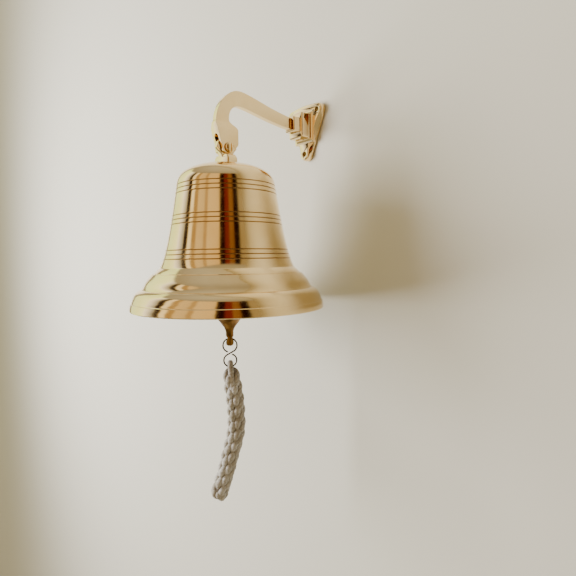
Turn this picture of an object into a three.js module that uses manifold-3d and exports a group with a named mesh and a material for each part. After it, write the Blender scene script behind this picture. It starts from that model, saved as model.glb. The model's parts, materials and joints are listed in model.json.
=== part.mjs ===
// A wall-mounted brass ship bell: a screwed wall plate, a gooseneck arm with a forked end, a turned
// bell on a pivot bolt, a clapper on a link inside it, and a braided cotton lanyard on an S-hook.
// Millimetres, +Z up. The origin is on the wall, midway between the two upper screw holes; +Y points
// into the wall and the arm reaches out along -Y.
import * as THREE from 'three';
import { mergeVertices } from 'three/addons/utils/BufferGeometryUtils.js';
import Module from 'manifold-3d';

const wasm = await Module();
wasm.setup();

// ---------------------------------------------------------------- driving dimensions
const FIT = 0.3; // running clearance between neighbouring pieces

// Bell: radii and heights above the rim
const RIM_R = 89;
const BELL_HEIGHT = 131.8;
const SHOULDER_R = 45.2;
const SHOULDER_Z = 113;
const CROWN_R = 24;
const CROWN_DROP = 1.5; // how far the crown falls from its flat seat to CROWN_R
const FOOT_R = 62; // where the waist meets the turned bands
const FOOT_Z = 37.7;
const WALL = 3.3;
const CROWN_WALL = 4;
const RIM_LAND = 6; // width of the flat ring at the mouth
const GROOVE_WIDTH = 1.3;
const GROOVE_DEPTH = 0.5;
const GROOVE_PITCH = 3.9;
const GROOVE_GROUPS = [107.8, 80.1, 49.4]; // middle groove of each group of three
const BELL_SEGMENTS = 36;

// Bracket: wall to bell axis, and the pin's place
const REACH = 108;
const PIN_DROP = 52.7; // screw holes down to the pin
const LUG_RISE = 15.2; // crown seat up to the pin
const BOSS_DROP = 15.4; // screw holes down to the axis of the boss

// Wall plate
const HOLE_SPREAD = 37.4;
const HOLE_DROP = 42.8;
const SCREW_HOLE_D = 5.5;
const PLATE_CORNER_R = 6.8;
const PLATE_EDGE = 2.6; // straight edge before the bevel
const PLATE_THICK = 6.4;
const PLATE_BEVEL = 1.2;
const PLATE_WAIST = 4.5; // how far the front face's sides curve in
const PLATE_ARCH = 1.5; // how far the top edge arches up
const FLARE_DEPTH = 3.8;
const FLARE_SPREAD = 4;
const LARGE_TIER = { width: 20, height: 25, depth: 9 };
const SMALL_TIER = { width: 14, height: 14.6, depth: 8.5 };
const TIER_ROUND = 1.2;
const TIER_CHAMFER = 0.7;

// Arm
const ARM_THICK = 5.5;
const ARM_DEPTH_AT_BOSS = 11.5;
const ARM_BEVEL = 0.7;
const ARM_RISE = 54.5; // pin up to the crest of the gooseneck
const ARM_CREST_Y = 15.9; // bell axis back to the crest
const ARM_DEPTH_AT_CREST = 14;
const TENON_HEIGHT = 9;
const TENON_LENGTH = 15.7;
const FORK_WIDTH = 11.5;
const SLOT_WIDTH = 6;
const SLOT_TOP = 12; // above the pin
const FORK_FLARE = [15, 23.5]; // heights above the pin between which the fork widens

// Pivot bolt, its washer and its nut
const PIN_D = 4.8;
const PIN_HEAD_D = 9.5;
const PIN_HEAD_H = 3.4;
const PIN_NUT = { across: 8, height: 4 };
const PIN_WASHER = { diameter: 10, height: 1 };
const PIN_PROUD = 1.6; // thread showing past the nut

// Crown lug
const TONGUE_THICK = 5.4;
const TONGUE_R = 10.5;
const LUG_WIDTH = 23;
const LUG_LENGTH = 11;
const LUG_EDGE = 2.6; // straight sides of the base
const LUG_SHOULDER = 8.7; // top of the shoulders above the crown seat
const LUG_TOP_WIDTH = 17.6;

// Eye bolt, washer and nut under the crown
const EYE_SHANK_D = 4.4;
const EYE_R = 6;
const EYE_WIRE_R = 1.8;
const EYE_DROP = 19; // crown seat down to the eye's centre
const EYE_NUT = { across: 10, height: 4.4 };
const EYE_WASHER = { diameter: 16, height: 1.2 };
const STUD_DEPTH = 3.2; // how far the shank reaches into the lug

// Link and clapper
const LINK_R = 7.5;
const LINK_WIRE_R = 1.5;
const CLAPPER_ROD_TOP_R = 3;
const CLAPPER_ROD_FOOT_R = 5;
const BALL_R = 16.5;
const BALL_Z = 1;
const TAIL_R = 3.6;
const TAIL_TOP_Z = -20;
const TAIL_END_Z = -36.9;
const TAIL_HOLE_Z = -29.9;
const TAIL_HOLE_D = 4.6;

// S-hook: the wire's middle line
const HOOK_TURN = -35 * Math.PI / 180; // which way the hook faces, from +X about the vertical
const HOOK_WIRE_R = 0.7;
const HOOK_TOP_R = 6.6;
const HOOK_FOOT_R = 6.05;
const HOOK_WAIST = 1.75; // between the two loops' nearest points

// Lanyard: a cord eye over the hook, and a braid whose middle line swings to and fro
const CORD_EYE_D = 4;
const BRAID_D = 16;
// Points chosen by hand: sideways in the hook's plane, and down from the foot loop's centre
const BRAID_ROUTE = [
  [0.4, -13.6], [1.1, -18], [2.1, -25], [3.1, -33], [3.9, -41], [4.4, -49], [4.6, -57],
  [4.3, -65], [3.1, -73], [1.2, -81], [-0.9, -88], [-3, -96], [-5.3, -104], [-7.6, -111.5],
  [-9.8, -118.5], [-12, -125.5], [-13.6, -130.6],
];

// ---------------------------------------------------------------- places that follow from them
const RIM_Z = -PIN_DROP - LUG_RISE - BELL_HEIGHT;
const PIN_Z = BELL_HEIGHT + LUG_RISE; // above the rim
const BOSS_PROJECTION = PLATE_THICK + FLARE_DEPTH + LARGE_TIER.depth + SMALL_TIER.depth;
const EYE_Z = BELL_HEIGHT - EYE_DROP;
const LINK_PIVOT_Z = EYE_Z - EYE_R;
const LINK_Z = LINK_PIVOT_Z + EYE_WIRE_R + LINK_WIRE_R + FIT - LINK_R;
const CLAPPER_PIVOT_Z = LINK_Z - LINK_R;
const CLAPPER_EYE_Z = CLAPPER_PIVOT_Z + EYE_WIRE_R + LINK_WIRE_R + FIT - EYE_R;
const HOOK_TOP_Z = TAIL_HOLE_Z - HOOK_TOP_R;
const HOOK_FOOT_Z = HOOK_TOP_Z - HOOK_TOP_R - HOOK_WAIST - HOOK_FOOT_R;
const TENON_SCREW = { shank: 3.4, head: 8, headDepth: 2.3, sunk: 0.4, length: 24 };

// ---------------------------------------------------------------- shaping helpers
const v2 = (x, y) => new THREE.Vector2(x, y);
const v3 = (x, y, z) => new THREE.Vector3(x, y, z);
const mix = (a, b, t) => a + (b - a) * t;

function volumeOf(geometry) {
  const p = geometry.attributes.position;
  const index = geometry.index;
  const [a, b, c] = [v3(), v3(), v3()];
  let sum = 0;
  for (let i = 0; i < index.count; i += 3) {
    a.fromBufferAttribute(p, index.getX(i));
    b.fromBufferAttribute(p, index.getX(i + 1));
    c.fromBufferAttribute(p, index.getX(i + 2));
    sum += a.dot(b.cross(c)) / 6;
  }
  return sum;
}

// Position only, shared corners merged, empty triangles dropped and faces turned outwards
function closed(source) {
  const bare = source.index ? source.toNonIndexed() : source.clone();
  for (const name of Object.keys(bare.attributes)) {
    if (name !== 'position') bare.deleteAttribute(name);
  }
  const geometry = mergeVertices(bare, 1e-3);
  const kept = [];
  const index = geometry.index;
  for (let i = 0; i < index.count; i += 3) {
    const [a, b, c] = [index.getX(i), index.getX(i + 1), index.getX(i + 2)];
    if (a !== b && b !== c && c !== a) kept.push(a, b, c);
  }
  geometry.setIndex(kept);
  if (volumeOf(geometry) < 0) {
    for (let i = 0; i < kept.length; i += 3) [kept[i + 1], kept[i + 2]] = [kept[i + 2], kept[i + 1]];
    geometry.setIndex(kept);
  }
  return geometry;
}

function solid(geometry) {
  const g = closed(geometry);
  const vertProperties = new Float32Array(g.attributes.position.array);
  const triVerts = new Uint32Array(g.index.array);
  return new wasm.Manifold(new wasm.Mesh({ numProp: 3, vertProperties, triVerts }));
}

function geometryOf(manifold) {
  const mesh = manifold.getMesh();
  const geometry = new THREE.BufferGeometry();
  geometry.setAttribute('position', new THREE.Float32BufferAttribute(mesh.vertProperties, 3));
  geometry.setIndex([...mesh.triVerts]);
  return geometry;
}

const join = (first, ...rest) => geometryOf(rest.reduce((sum, g) => sum.add(solid(g)), solid(first)));
const cut = (first, ...tools) => geometryOf(tools.reduce((sum, g) => sum.subtract(solid(g)), solid(first)));
const common = (first, second) => geometryOf(solid(first).intersect(solid(second)));

// A turned piece about the Z axis; the profile is [radius, height] and starts and ends on the axis
// or at the same point
function turned(profile, segments = 24) {
  const points = profile.map(([r, z]) => v2(Math.max(r, 0), z));
  return new THREE.LatheGeometry(points, segments).rotateX(Math.PI / 2);
}

const rod = (radius, from, to, segments = 24) =>
  turned([[0, from], [radius, from], [radius, to], [0, to]], segments);

// A rod along X or Y through a point
const crossRod = (radius, length, centre, segments = 24) =>
  rod(radius, -length / 2, length / 2, segments).rotateY(Math.PI / 2).translate(...centre);
const deepRod = (radius, fromY, toY, x, z, segments = 24) =>
  rod(radius, -toY, -fromY, segments).rotateX(Math.PI / 2).translate(x, 0, z);

const hexagon = (across, from, to) => {
  const r = across / Math.sqrt(3);
  return turned([[0, from], [r, from], [r, to], [0, to]], 6);
};

const ring = (radius, wire, sides = 8, segments = 24) =>
  new THREE.TorusGeometry(radius, wire, sides, segments).rotateX(Math.PI / 2); // in the XZ plane

// A flat outline in (Y, Z), as thick as asked along X, about X = 0
function sideways(shape, thickness, bevel = 0, curveSegments = 8) {
  const geometry = new THREE.ExtrudeGeometry(shape, {
    depth: thickness - 2 * bevel,
    bevelEnabled: bevel > 0,
    bevelSize: bevel,
    bevelOffset: -bevel,
    bevelThickness: bevel,
    bevelSegments: 2,
    curveSegments,
  });
  geometry.translate(0, 0, -(thickness - 2 * bevel) / 2);
  return geometry.applyMatrix4(new THREE.Matrix4().makeBasis(v3(0, 1, 0), v3(0, 0, 1), v3(1, 0, 0)));
}

function block(width, depth, height, x, y, z) {
  return new THREE.BoxGeometry(width, depth, height).translate(x, y, z);
}

// A skin over sections that have the same number of points, with a fan at each end
function loft(sections) {
  const count = sections[0].length;
  const points = sections.flat();
  const triangles = [];
  for (let s = 0; s + 1 < sections.length; s++) {
    for (let i = 0; i < count; i++) {
      const [a, b] = [s * count + i, s * count + ((i + 1) % count)];
      triangles.push(a, b, b + count, a, b + count, a + count);
    }
  }
  for (const [first, flip] of [[0, true], [(sections.length - 1) * count, false]]) {
    const middle = points.length;
    const rim = points.slice(first, first + count);
    points.push(rim.reduce((sum, p) => sum.add(p), v3(0, 0, 0)).divideScalar(count));
    for (let i = 0; i < count; i++) {
      const [a, b] = [first + i, first + ((i + 1) % count)];
      triangles.push(...(flip ? [middle, b, a] : [middle, a, b]));
    }
  }
  const geometry = new THREE.BufferGeometry();
  geometry.setAttribute('position', new THREE.Float32BufferAttribute(points.flatMap((p) => p.toArray()), 3));
  geometry.setIndex(triangles);
  return geometry;
}

// Corners of a rectangle rounded by arcs, as [across, up] pairs
function roundedRectangle(width, height, radius, steps = 3) {
  const points = [];
  const corners = [[1, 1], [-1, 1], [-1, -1], [1, -1]];
  corners.forEach(([sx, sy], k) => {
    for (let i = 0; i <= steps; i++) {
      const angle = (k + i / steps) * Math.PI / 2;
      points.push([
        sx * (width / 2 - radius) + radius * Math.cos(angle),
        sy * (height / 2 - radius) + radius * Math.sin(angle),
      ]);
    }
  });
  return points;
}

// ---------------------------------------------------------------- wall plate
// The plate's outline at one depth: arcs about the three screw holes and sides that curve in
function plateSection(y, radius, waist) {
  const half = HOLE_SPREAD / 2;
  const holes = [v2(half, 0), v2(-half, 0), v2(0, -HOLE_DROP)];
  const lean = Math.atan2(half, HOLE_DROP);
  const starts = [-lean, Math.PI / 2, Math.PI + lean];
  const ends = [Math.PI / 2, Math.PI + lean, 2 * Math.PI - lean];
  const arcSteps = 6;
  const sideSteps = 8;
  const outline = [];
  holes.forEach((centre, k) => {
    for (let i = 0; i <= arcSteps; i++) {
      const angle = mix(starts[k], ends[k], i / arcSteps);
      outline.push(v2(Math.cos(angle), Math.sin(angle)).multiplyScalar(radius).add(centre));
    }
    const normal = v2(Math.cos(ends[k]), Math.sin(ends[k]));
    const pull = k === 0 ? PLATE_ARCH : -waist;
    const next = holes[(k + 1) % 3];
    for (let i = 1; i < sideSteps; i++) {
      const t = i / sideSteps;
      const bow = pull * 4 * t * (1 - t);
      outline.push(centre.clone().lerp(next, t).addScaledVector(normal, radius + bow));
    }
  });
  return outline.map((p) => v3(p.x, y, p.y));
}

function tierSection(width, height, y) {
  return roundedRectangle(width, height, TIER_ROUND).map(([x, z]) => v3(x, y, z - BOSS_DROP));
}

function tier({ width, height, depth }, front) {
  const inset = 2 * TIER_CHAMFER;
  const root = front + depth + 1; // sunk 1 mm into what carries it, so the join has no seam
  return loft([
    tierSection(width, height, root),
    tierSection(width, height, front + TIER_CHAMFER),
    tierSection(width - inset, height - inset, front),
  ]);
}

function wallPlate() {
  const slab = loft([
    plateSection(0, PLATE_CORNER_R, 0),
    plateSection(-PLATE_EDGE, PLATE_CORNER_R, 0),
    plateSection(-(PLATE_EDGE + PLATE_THICK) / 2, PLATE_CORNER_R - 0.3 * PLATE_BEVEL, 0.6 * PLATE_WAIST),
    plateSection(-PLATE_THICK, PLATE_CORNER_R - PLATE_BEVEL, PLATE_WAIST),
  ]);
  const flareSteps = 5;
  const flareSections = [tierSection(
    LARGE_TIER.width + 2 * FLARE_SPREAD, LARGE_TIER.height + 2 * FLARE_SPREAD, -PLATE_THICK / 2)];
  for (let i = 0; i <= flareSteps; i++) {
    const angle = i / flareSteps * Math.PI / 2;
    const spread = 2 * FLARE_SPREAD * (1 - Math.sin(angle));
    const y = -PLATE_THICK - FLARE_DEPTH * (1 - Math.cos(angle));
    flareSections.push(tierSection(LARGE_TIER.width + spread, LARGE_TIER.height + spread, y));
  }
  const largeFront = -PLATE_THICK - FLARE_DEPTH - LARGE_TIER.depth;
  const casting = join(
    slab, loft(flareSections), tier(LARGE_TIER, largeFront), tier(SMALL_TIER, -BOSS_PROJECTION));
  const holes = [[HOLE_SPREAD / 2, 0], [-HOLE_SPREAD / 2, 0], [0, -HOLE_DROP]];
  const screwHoles = holes.map(([x, z]) => deepRod(SCREW_HOLE_D / 2, -PLATE_THICK - 2, 1, x, z, 20));
  const socketDepth = TENON_LENGTH + FIT;
  const socket = block(
    ARM_THICK + 2 * FIT, socketDepth + 1, TENON_HEIGHT + 2 * FIT,
    0, -BOSS_PROJECTION + (socketDepth - 1) / 2, -BOSS_DROP);
  const { shank, head, headDepth, sunk } = TENON_SCREW;
  const r = shank / 2 + FIT;
  const headR = head / 2 + FIT;
  const countersink = turned([
    [0, 1], [headR, 1], [headR, -sunk], [r, -sunk - headDepth], [r, -BOSS_PROJECTION + socketDepth - 1],
    [0, -BOSS_PROJECTION + socketDepth - 1],
  ], 20).rotateX(-Math.PI / 2).translate(0, 0, -BOSS_DROP);
  return cut(casting, ...screwHoles, socket, countersink);
}

function armScrew() {
  const { shank, head, headDepth, sunk, length } = TENON_SCREW;
  const r = shank / 2;
  const top = -sunk;
  const body = turned([
    [0, top], [head / 2, top], [r, top - headDepth], [r, top - length + 1], [r - 0.8, top - length], [0, top - length],
  ], 20);
  const slot = block(head + 2, 1.2, 2, 0, 0, top);
  return cut(body, slot).rotateX(-Math.PI / 2).translate(0, 0, -BOSS_DROP);
}

// ---------------------------------------------------------------- arm with its fork
// Outline in (Y from the bell axis, Z above the pin)
function armOutline() {
  const boss = REACH - BOSS_PROJECTION - FIT;
  const bossZ = PIN_DROP - BOSS_DROP;
  const end = { y: boss, top: bossZ + ARM_DEPTH_AT_BOSS / 2, foot: bossZ - ARM_DEPTH_AT_BOSS / 2 };
  const crest = { y: ARM_CREST_Y, top: ARM_RISE, foot: ARM_RISE - ARM_DEPTH_AT_CREST };
  const span = end.y - crest.y;
  const shape = new THREE.Shape();
  shape.moveTo(-11.4, 23.6);
  shape.bezierCurveTo(-10.7, crest.top - 16.5, crest.y - 13.9, crest.top, crest.y, crest.top);
  shape.bezierCurveTo(
    crest.y + 0.19 * span, crest.top, end.y - 0.46 * span, end.top + 3, end.y, end.top);
  shape.lineTo(end.y, bossZ + TENON_HEIGHT / 2);
  shape.lineTo(end.y + TENON_LENGTH, bossZ + TENON_HEIGHT / 2);
  shape.lineTo(end.y + TENON_LENGTH, bossZ - TENON_HEIGHT / 2);
  shape.lineTo(end.y, bossZ - TENON_HEIGHT / 2);
  shape.lineTo(end.y, end.foot);
  shape.bezierCurveTo(
    end.y - 0.49 * span, end.foot + 2.1, crest.y + 0.15 * span, crest.foot, crest.y, crest.foot);
  shape.bezierCurveTo(crest.y - 8.6, crest.foot, 2.0, crest.foot - 6.5, 2.8, 25);
  // down the back of the fork, round under the pin and up its front
  shape.quadraticCurveTo(5, 22.6, 8.7, 20.5);
  shape.quadraticCurveTo(10.6, 19.6, 10.8, 17);
  shape.lineTo(10.6, 4);
  shape.quadraticCurveTo(10.4, 2.8, 9.4, 2);
  shape.lineTo(3.8, -3.6);
  shape.quadraticCurveTo(2.6, -4.8, 1, -4.8);
  shape.lineTo(-3.4, -4.8);
  shape.quadraticCurveTo(-6.7, -4.6, -6.9, -1);
  shape.bezierCurveTo(-7.2, 3, -11, 10, -12.3, 21.4);
  shape.quadraticCurveTo(-12.2, 22.6, -11.4, 23.6);
  return shape;
}

function bracketArm() {
  const bar = sideways(armOutline(), FORK_WIDTH, ARM_BEVEL, 7);
  // seen from the front: as thick as the arm above, as wide as the fork below
  const [widened, narrow] = FORK_FLARE;
  const half = ARM_THICK / 2;
  const front = new THREE.Shape([
    v2(half, ARM_RISE + 10), v2(-half, ARM_RISE + 10), v2(-half, narrow), v2(-FORK_WIDTH / 2 - 1, widened - 0.9),
    v2(-FORK_WIDTH / 2 - 1, -20), v2(FORK_WIDTH / 2 + 1, -20), v2(FORK_WIDTH / 2 + 1, widened - 0.9), v2(half, narrow),
  ]);
  const depth = REACH + 60;
  const window_ = new THREE.ExtrudeGeometry(front, { depth, bevelEnabled: false });
  window_.rotateX(Math.PI / 2).translate(0, depth - 30, 0);
  const slotTop = crossSlot();
  const pinHole = crossRod(PIN_D / 2 + FIT, FORK_WIDTH + 4, [0, 0, 0]);
  const tenonEnd = REACH - BOSS_PROJECTION + TENON_LENGTH;
  const bore = deepRod(
    TENON_SCREW.shank / 2 + FIT, tenonEnd - 14, tenonEnd + 1, 0, PIN_DROP - BOSS_DROP, 16);
  return cut(common(bar, window_), slotTop, pinHole, bore).translate(0, -REACH, -PIN_DROP);
}

// The fork's slot, round at its top
function crossSlot() {
  const r = SLOT_WIDTH / 2;
  const shape = new THREE.Shape();
  shape.moveTo(-r, -20);
  shape.lineTo(r, -20);
  shape.lineTo(r, SLOT_TOP - r);
  shape.absarc(0, SLOT_TOP - r, r, 0, Math.PI, false);
  shape.lineTo(-r, -20);
  const slot = new THREE.ExtrudeGeometry(shape, { depth: 60, bevelEnabled: false, curveSegments: 6 });
  return slot.rotateX(Math.PI / 2).translate(0, 30, 0);
}

// ---------------------------------------------------------------- pivot bolt, washer and nut
function pivotBolt() {
  const seat = FORK_WIDTH / 2 + FIT;
  const top = seat + PIN_HEAD_H;
  const end = -(seat + PIN_WASHER.height + PIN_NUT.height + 2 * FIT + PIN_PROUD);
  const r = PIN_D / 2;
  const head = PIN_HEAD_D / 2;
  const body = turned([
    [0, end], [r - 0.6, end], [r, end + 0.6], [r, seat], [head, seat], [head, seat + 1],
    [head * 0.93, seat + 1.9], [head * 0.74, top - 0.6], [head * 0.42, top - 0.1], [0, top],
  ]);
  const slot = block(1.3, PIN_HEAD_D + 2, 2.4, 0, 0, top);
  return cut(body, slot).rotateY(Math.PI / 2);
}

function pivotWasher() {
  const far = -(FORK_WIDTH / 2 + FIT);
  const hole = PIN_D / 2 + FIT;
  const outer = PIN_WASHER.diameter / 2;
  const near = far - PIN_WASHER.height;
  return turned([[hole, near], [outer, near], [outer, far], [hole, far], [hole, near]]).rotateY(Math.PI / 2);
}

function pivotNut() {
  const far = -(FORK_WIDTH / 2 + 2 * FIT + PIN_WASHER.height);
  const body = hexagon(PIN_NUT.across, far - PIN_NUT.height, far);
  return cut(body, rod(PIN_D / 2 + FIT, far - PIN_NUT.height - 1, far + 1)).rotateY(Math.PI / 2);
}

// ---------------------------------------------------------------- crown lug
// Heights above the crown seat; the pin passes through the tongue
function crownLug() {
  const section = (width, length, z) => roundedRectangle(width, length, 1.5).map(([x, y]) => v3(x, y, z));
  const base = loft([
    section(LUG_WIDTH, LUG_LENGTH, FIT),
    section(LUG_WIDTH, LUG_LENGTH, FIT + LUG_EDGE),
    section(mix(LUG_WIDTH, LUG_TOP_WIDTH, 0.14), LUG_LENGTH - 0.2, mix(LUG_EDGE, LUG_SHOULDER, 0.45)),
    section(mix(LUG_WIDTH, LUG_TOP_WIDTH, 0.48), LUG_LENGTH - 0.5, mix(LUG_EDGE, LUG_SHOULDER, 0.8)),
    section(LUG_TOP_WIDTH, LUG_LENGTH - 1.2, LUG_SHOULDER),
  ]);
  const outline = new THREE.Shape();
  const footHalf = LUG_LENGTH / 2 - 0.8;
  outline.moveTo(-footHalf, 1);
  outline.lineTo(footHalf, 1);
  outline.quadraticCurveTo(footHalf, LUG_RISE - 5, TONGUE_R, LUG_RISE);
  outline.absarc(0, LUG_RISE, TONGUE_R, 0, Math.PI, false);
  outline.quadraticCurveTo(-footHalf, LUG_RISE - 5, -footHalf, 1);
  const tongue = sideways(outline, TONGUE_THICK, 0.4, 14);
  const pinHole = crossRod(PIN_D / 2 + FIT, LUG_WIDTH, [0, 0, LUG_RISE]);
  const studHole = rod(EYE_SHANK_D / 2 + FIT, -1, STUD_DEPTH + FIT, 20);
  return cut(join(base, tongue), pinHole, studHole);
}

// ---------------------------------------------------------------- bell shell
function bezier(from, a, b, to, steps) {
  return new THREE.CubicBezierCurve(v2(...from), v2(...a), v2(...b), v2(...to))
    .getPoints(steps).map((p) => [p.x, p.y]);
}

// The waist from the foot up to the shoulder, moved in by a wall
function waist(inset, steps) {
  const foot = FOOT_R - inset;
  const shoulder = SHOULDER_R - inset;
  return bezier(
    [foot, FOOT_Z], [mix(foot, shoulder, 0.38), mix(FOOT_Z, SHOULDER_Z, 0.163)],
    [mix(foot, shoulder, 0.685), mix(FOOT_Z, SHOULDER_Z, 0.562)], [shoulder, SHOULDER_Z], steps);
}

function shoulder(inset, drop, steps) {
  const crownZ = BELL_HEIGHT - CROWN_DROP;
  const rise = crownZ - SHOULDER_Z;
  return bezier(
    [SHOULDER_R - inset, SHOULDER_Z], [SHOULDER_R - inset - 1, SHOULDER_Z + 0.49 * rise],
    [mix(SHOULDER_R - inset, CROWN_R, 0.34), crownZ - drop - 0.2 * rise], [CROWN_R, crownZ - drop], steps);
}

// Turned V-grooves cut into a profile of [radius, height] pairs that rises all the way
function grooved(profile) {
  const heights = GROOVE_GROUPS.flatMap((z) => [z - GROOVE_PITCH, z, z + GROOVE_PITCH]);
  const radiusAt = (z) => {
    const k = profile.findIndex(([, height]) => height >= z);
    const [[r0, z0], [r1, z1]] = [profile[k - 1], profile[k]];
    return mix(r0, r1, (z - z0) / (z1 - z0));
  };
  const clear = profile.filter(([, z]) => heights.every((g) => Math.abs(g - z) > GROOVE_PITCH / 2));
  const cuts = heights.flatMap((z) => [
    [radiusAt(z - GROOVE_WIDTH / 2), z - GROOVE_WIDTH / 2],
    [radiusAt(z) - GROOVE_DEPTH, z],
    [radiusAt(z + GROOVE_WIDTH / 2), z + GROOVE_WIDTH / 2],
  ]);
  return [...clear, ...cuts].sort((p, q) => p[1] - q[1]);
}

// Share of the way from the foot to the rim, and height: the two convex bands and the rim line
const BANDS = [
  [1, 0.8], [0.995, 3], [0.955, 7], [0.93, 7.6], [0.9, 10.4], [0.81, 15.4], [0.652, 18.6],
  [0.61, 19], [0.53, 21.4], [0.5, 24.2], [0.42, 28.6], [0.26, 32.4], [0.2, 33.1], [0.107, 35.2],
];

function bellShell() {
  const flare = BANDS.map(([share, z]) => [mix(FOOT_R, RIM_R, share), z]);
  const outside = grooved([...flare, ...waist(0, 24), ...shoulder(0, 0, 5).slice(1)]);
  const bore = EYE_SHANK_D / 2 + FIT;
  const mouth = RIM_R - RIM_LAND;
  const inside = [
    ...bezier([mouth, 0], [mouth - 3, 10], [FOOT_R - WALL + 4, 24], [FOOT_R - WALL, FOOT_Z], 5),
    ...waist(WALL, 6).slice(1),
    ...shoulder(WALL, CROWN_WALL, 4).slice(1),
    [EYE_WASHER.diameter / 2 + 1, BELL_HEIGHT - CROWN_WALL],
    [bore, BELL_HEIGHT - CROWN_WALL],
  ].reverse();
  return turned([
    ...inside, [RIM_R - 0.8, 0], ...outside, [LUG_WIDTH / 2 + 2, BELL_HEIGHT], [bore, BELL_HEIGHT], inside[0],
  ], BELL_SEGMENTS);
}

// ---------------------------------------------------------------- eye bolt, washer and nut
function crownWasher() {
  const top = BELL_HEIGHT - CROWN_WALL - FIT;
  const hole = EYE_SHANK_D / 2 + FIT;
  const outer = EYE_WASHER.diameter / 2;
  const foot = top - EYE_WASHER.height;
  return turned([[hole, foot], [outer, foot], [outer, top], [hole, top], [hole, foot]]);
}

function crownNut() {
  const top = BELL_HEIGHT - CROWN_WALL - EYE_WASHER.height - 2 * FIT;
  const body = hexagon(EYE_NUT.across, top - EYE_NUT.height, top);
  return cut(body, rod(EYE_SHANK_D / 2 + FIT, top - EYE_NUT.height - 1, top + 1, 20));
}

function eyeBolt() {
  const eye = ring(EYE_R, EYE_WIRE_R).translate(0, 0, EYE_Z);
  return join(eye, rod(EYE_SHANK_D / 2, EYE_Z + EYE_R, BELL_HEIGHT + STUD_DEPTH, 20));
}

// ---------------------------------------------------------------- link and clapper
function clapperLink() {
  return ring(LINK_R, LINK_WIRE_R).rotateZ(Math.PI / 2).translate(0, 0, LINK_Z);
}

function clapper() {
  const eye = ring(EYE_R, EYE_WIRE_R).translate(0, 0, CLAPPER_EYE_Z);
  const rodTop = CLAPPER_EYE_Z - EYE_R;
  const from = Math.asin(CLAPPER_ROD_FOOT_R / BALL_R); // where the rod leaves the ball
  const to = 0.75 * Math.PI; // where the cone under the ball begins
  const steps = 7;
  const ball = [];
  for (let i = 0; i <= steps; i++) {
    const angle = mix(from, to, i / steps);
    ball.push([BALL_R * Math.sin(angle), BALL_Z + BALL_R * Math.cos(angle)]);
  }
  const body = turned([
    [0, rodTop], [CLAPPER_ROD_TOP_R, rodTop], ...ball,
    [TAIL_R + 1, TAIL_TOP_Z], [TAIL_R, TAIL_TOP_Z - 3], [TAIL_R, TAIL_END_Z + 2.4],
    [TAIL_R - 0.9, TAIL_END_Z + 0.8], [TAIL_R - 2.2, TAIL_END_Z], [0, TAIL_END_Z],
  ], 20);
  const hole = crossRod(TAIL_HOLE_D / 2, 4 * TAIL_R, [0, 0, TAIL_HOLE_Z]).rotateZ(HOOK_TURN + Math.PI / 2);
  return cut(join(eye, body), hole);
}

// ---------------------------------------------------------------- S-hook and lanyard
// A tube along points given in the hook's plane: [sideways, height above the rim]
function wire(points, radius, sides, steps) {
  const path = new THREE.CatmullRomCurve3(points.map(([x, z]) => v3(x, 0, z)), false, 'centripetal');
  const section = new THREE.Shape();
  section.absarc(0, 0, radius, 0, 2 * Math.PI, false);
  const geometry = new THREE.ExtrudeGeometry(section, {
    extrudePath: path, steps, curveSegments: sides / 2, bevelEnabled: false,
  });
  return geometry;
}

const facingHook = (geometry) => geometry.rotateZ(HOOK_TURN + Math.PI / 2);

function sHook() {
  const degree = Math.PI / 180;
  const arc = (radius, z, from, to, steps) => Array.from({ length: steps + 1 }, (_, i) => {
    const angle = mix(from, to, i / steps) * degree;
    return [radius * Math.cos(angle), z + radius * Math.sin(angle)];
  });
  const points = [
    ...arc(HOOK_TOP_R, HOOK_TOP_Z, 248, -58, 14),
    ...arc(HOOK_FOOT_R, HOOK_FOOT_Z, 122, 428, 14),
  ];
  return facingHook(wire(points, HOOK_WIRE_R, 8, 52));
}

// A staple of cord over the hook's foot, its two legs going down into the braid
function lanyardEye() {
  const bend = HOOK_WIRE_R + CORD_EYE_D / 2 + FIT;
  const top = HOOK_FOOT_Z - HOOK_FOOT_R;
  const arcSteps = 6;
  const arch = Array.from({ length: arcSteps + 1 }, (_, i) => {
    const angle = i / arcSteps * Math.PI;
    return [bend * Math.cos(angle), top + bend * Math.sin(angle)];
  });
  const foot = HOOK_FOOT_Z + BRAID_ROUTE[0][1] + 2 * FIT;
  const points = [[bend, foot], [bend, (top + foot) / 2], ...arch, [-bend, (top + foot) / 2], [-bend, foot]];
  return facingHook(wire(points, CORD_EYE_D / 2, 8, 18).rotateZ(Math.PI / 2));
}

function lanyardBraid() {
  const points = BRAID_ROUTE.map(([x, z]) => [x, HOOK_FOOT_Z + z]);
  return facingHook(wire(points, BRAID_D / 2, 12, 16));
}

// ---------------------------------------------------------------- finishes and assembly
const finish = (color, roughness, metalness) => () => new THREE.MeshStandardMaterial({ color, roughness, metalness });
const polishedBrass = finish(0xd8b26a, 0.12, 1);
const castBrass = finish(0xa9783a, 0.45, 1);
const darkBronze = finish(0x4a3a2c, 0.35, 1);
const cotton = finish(0xb9b2a2, 0.95, 0);

function mesh(name, geometry, material) {
  const piece = new THREE.Mesh(closed(geometry), material());
  piece.name = name;
  return piece;
}

function at(x, y, z, ...children) {
  const group = new THREE.Group();
  group.position.set(x, y, z);
  group.add(...children);
  return group;
}

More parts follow.
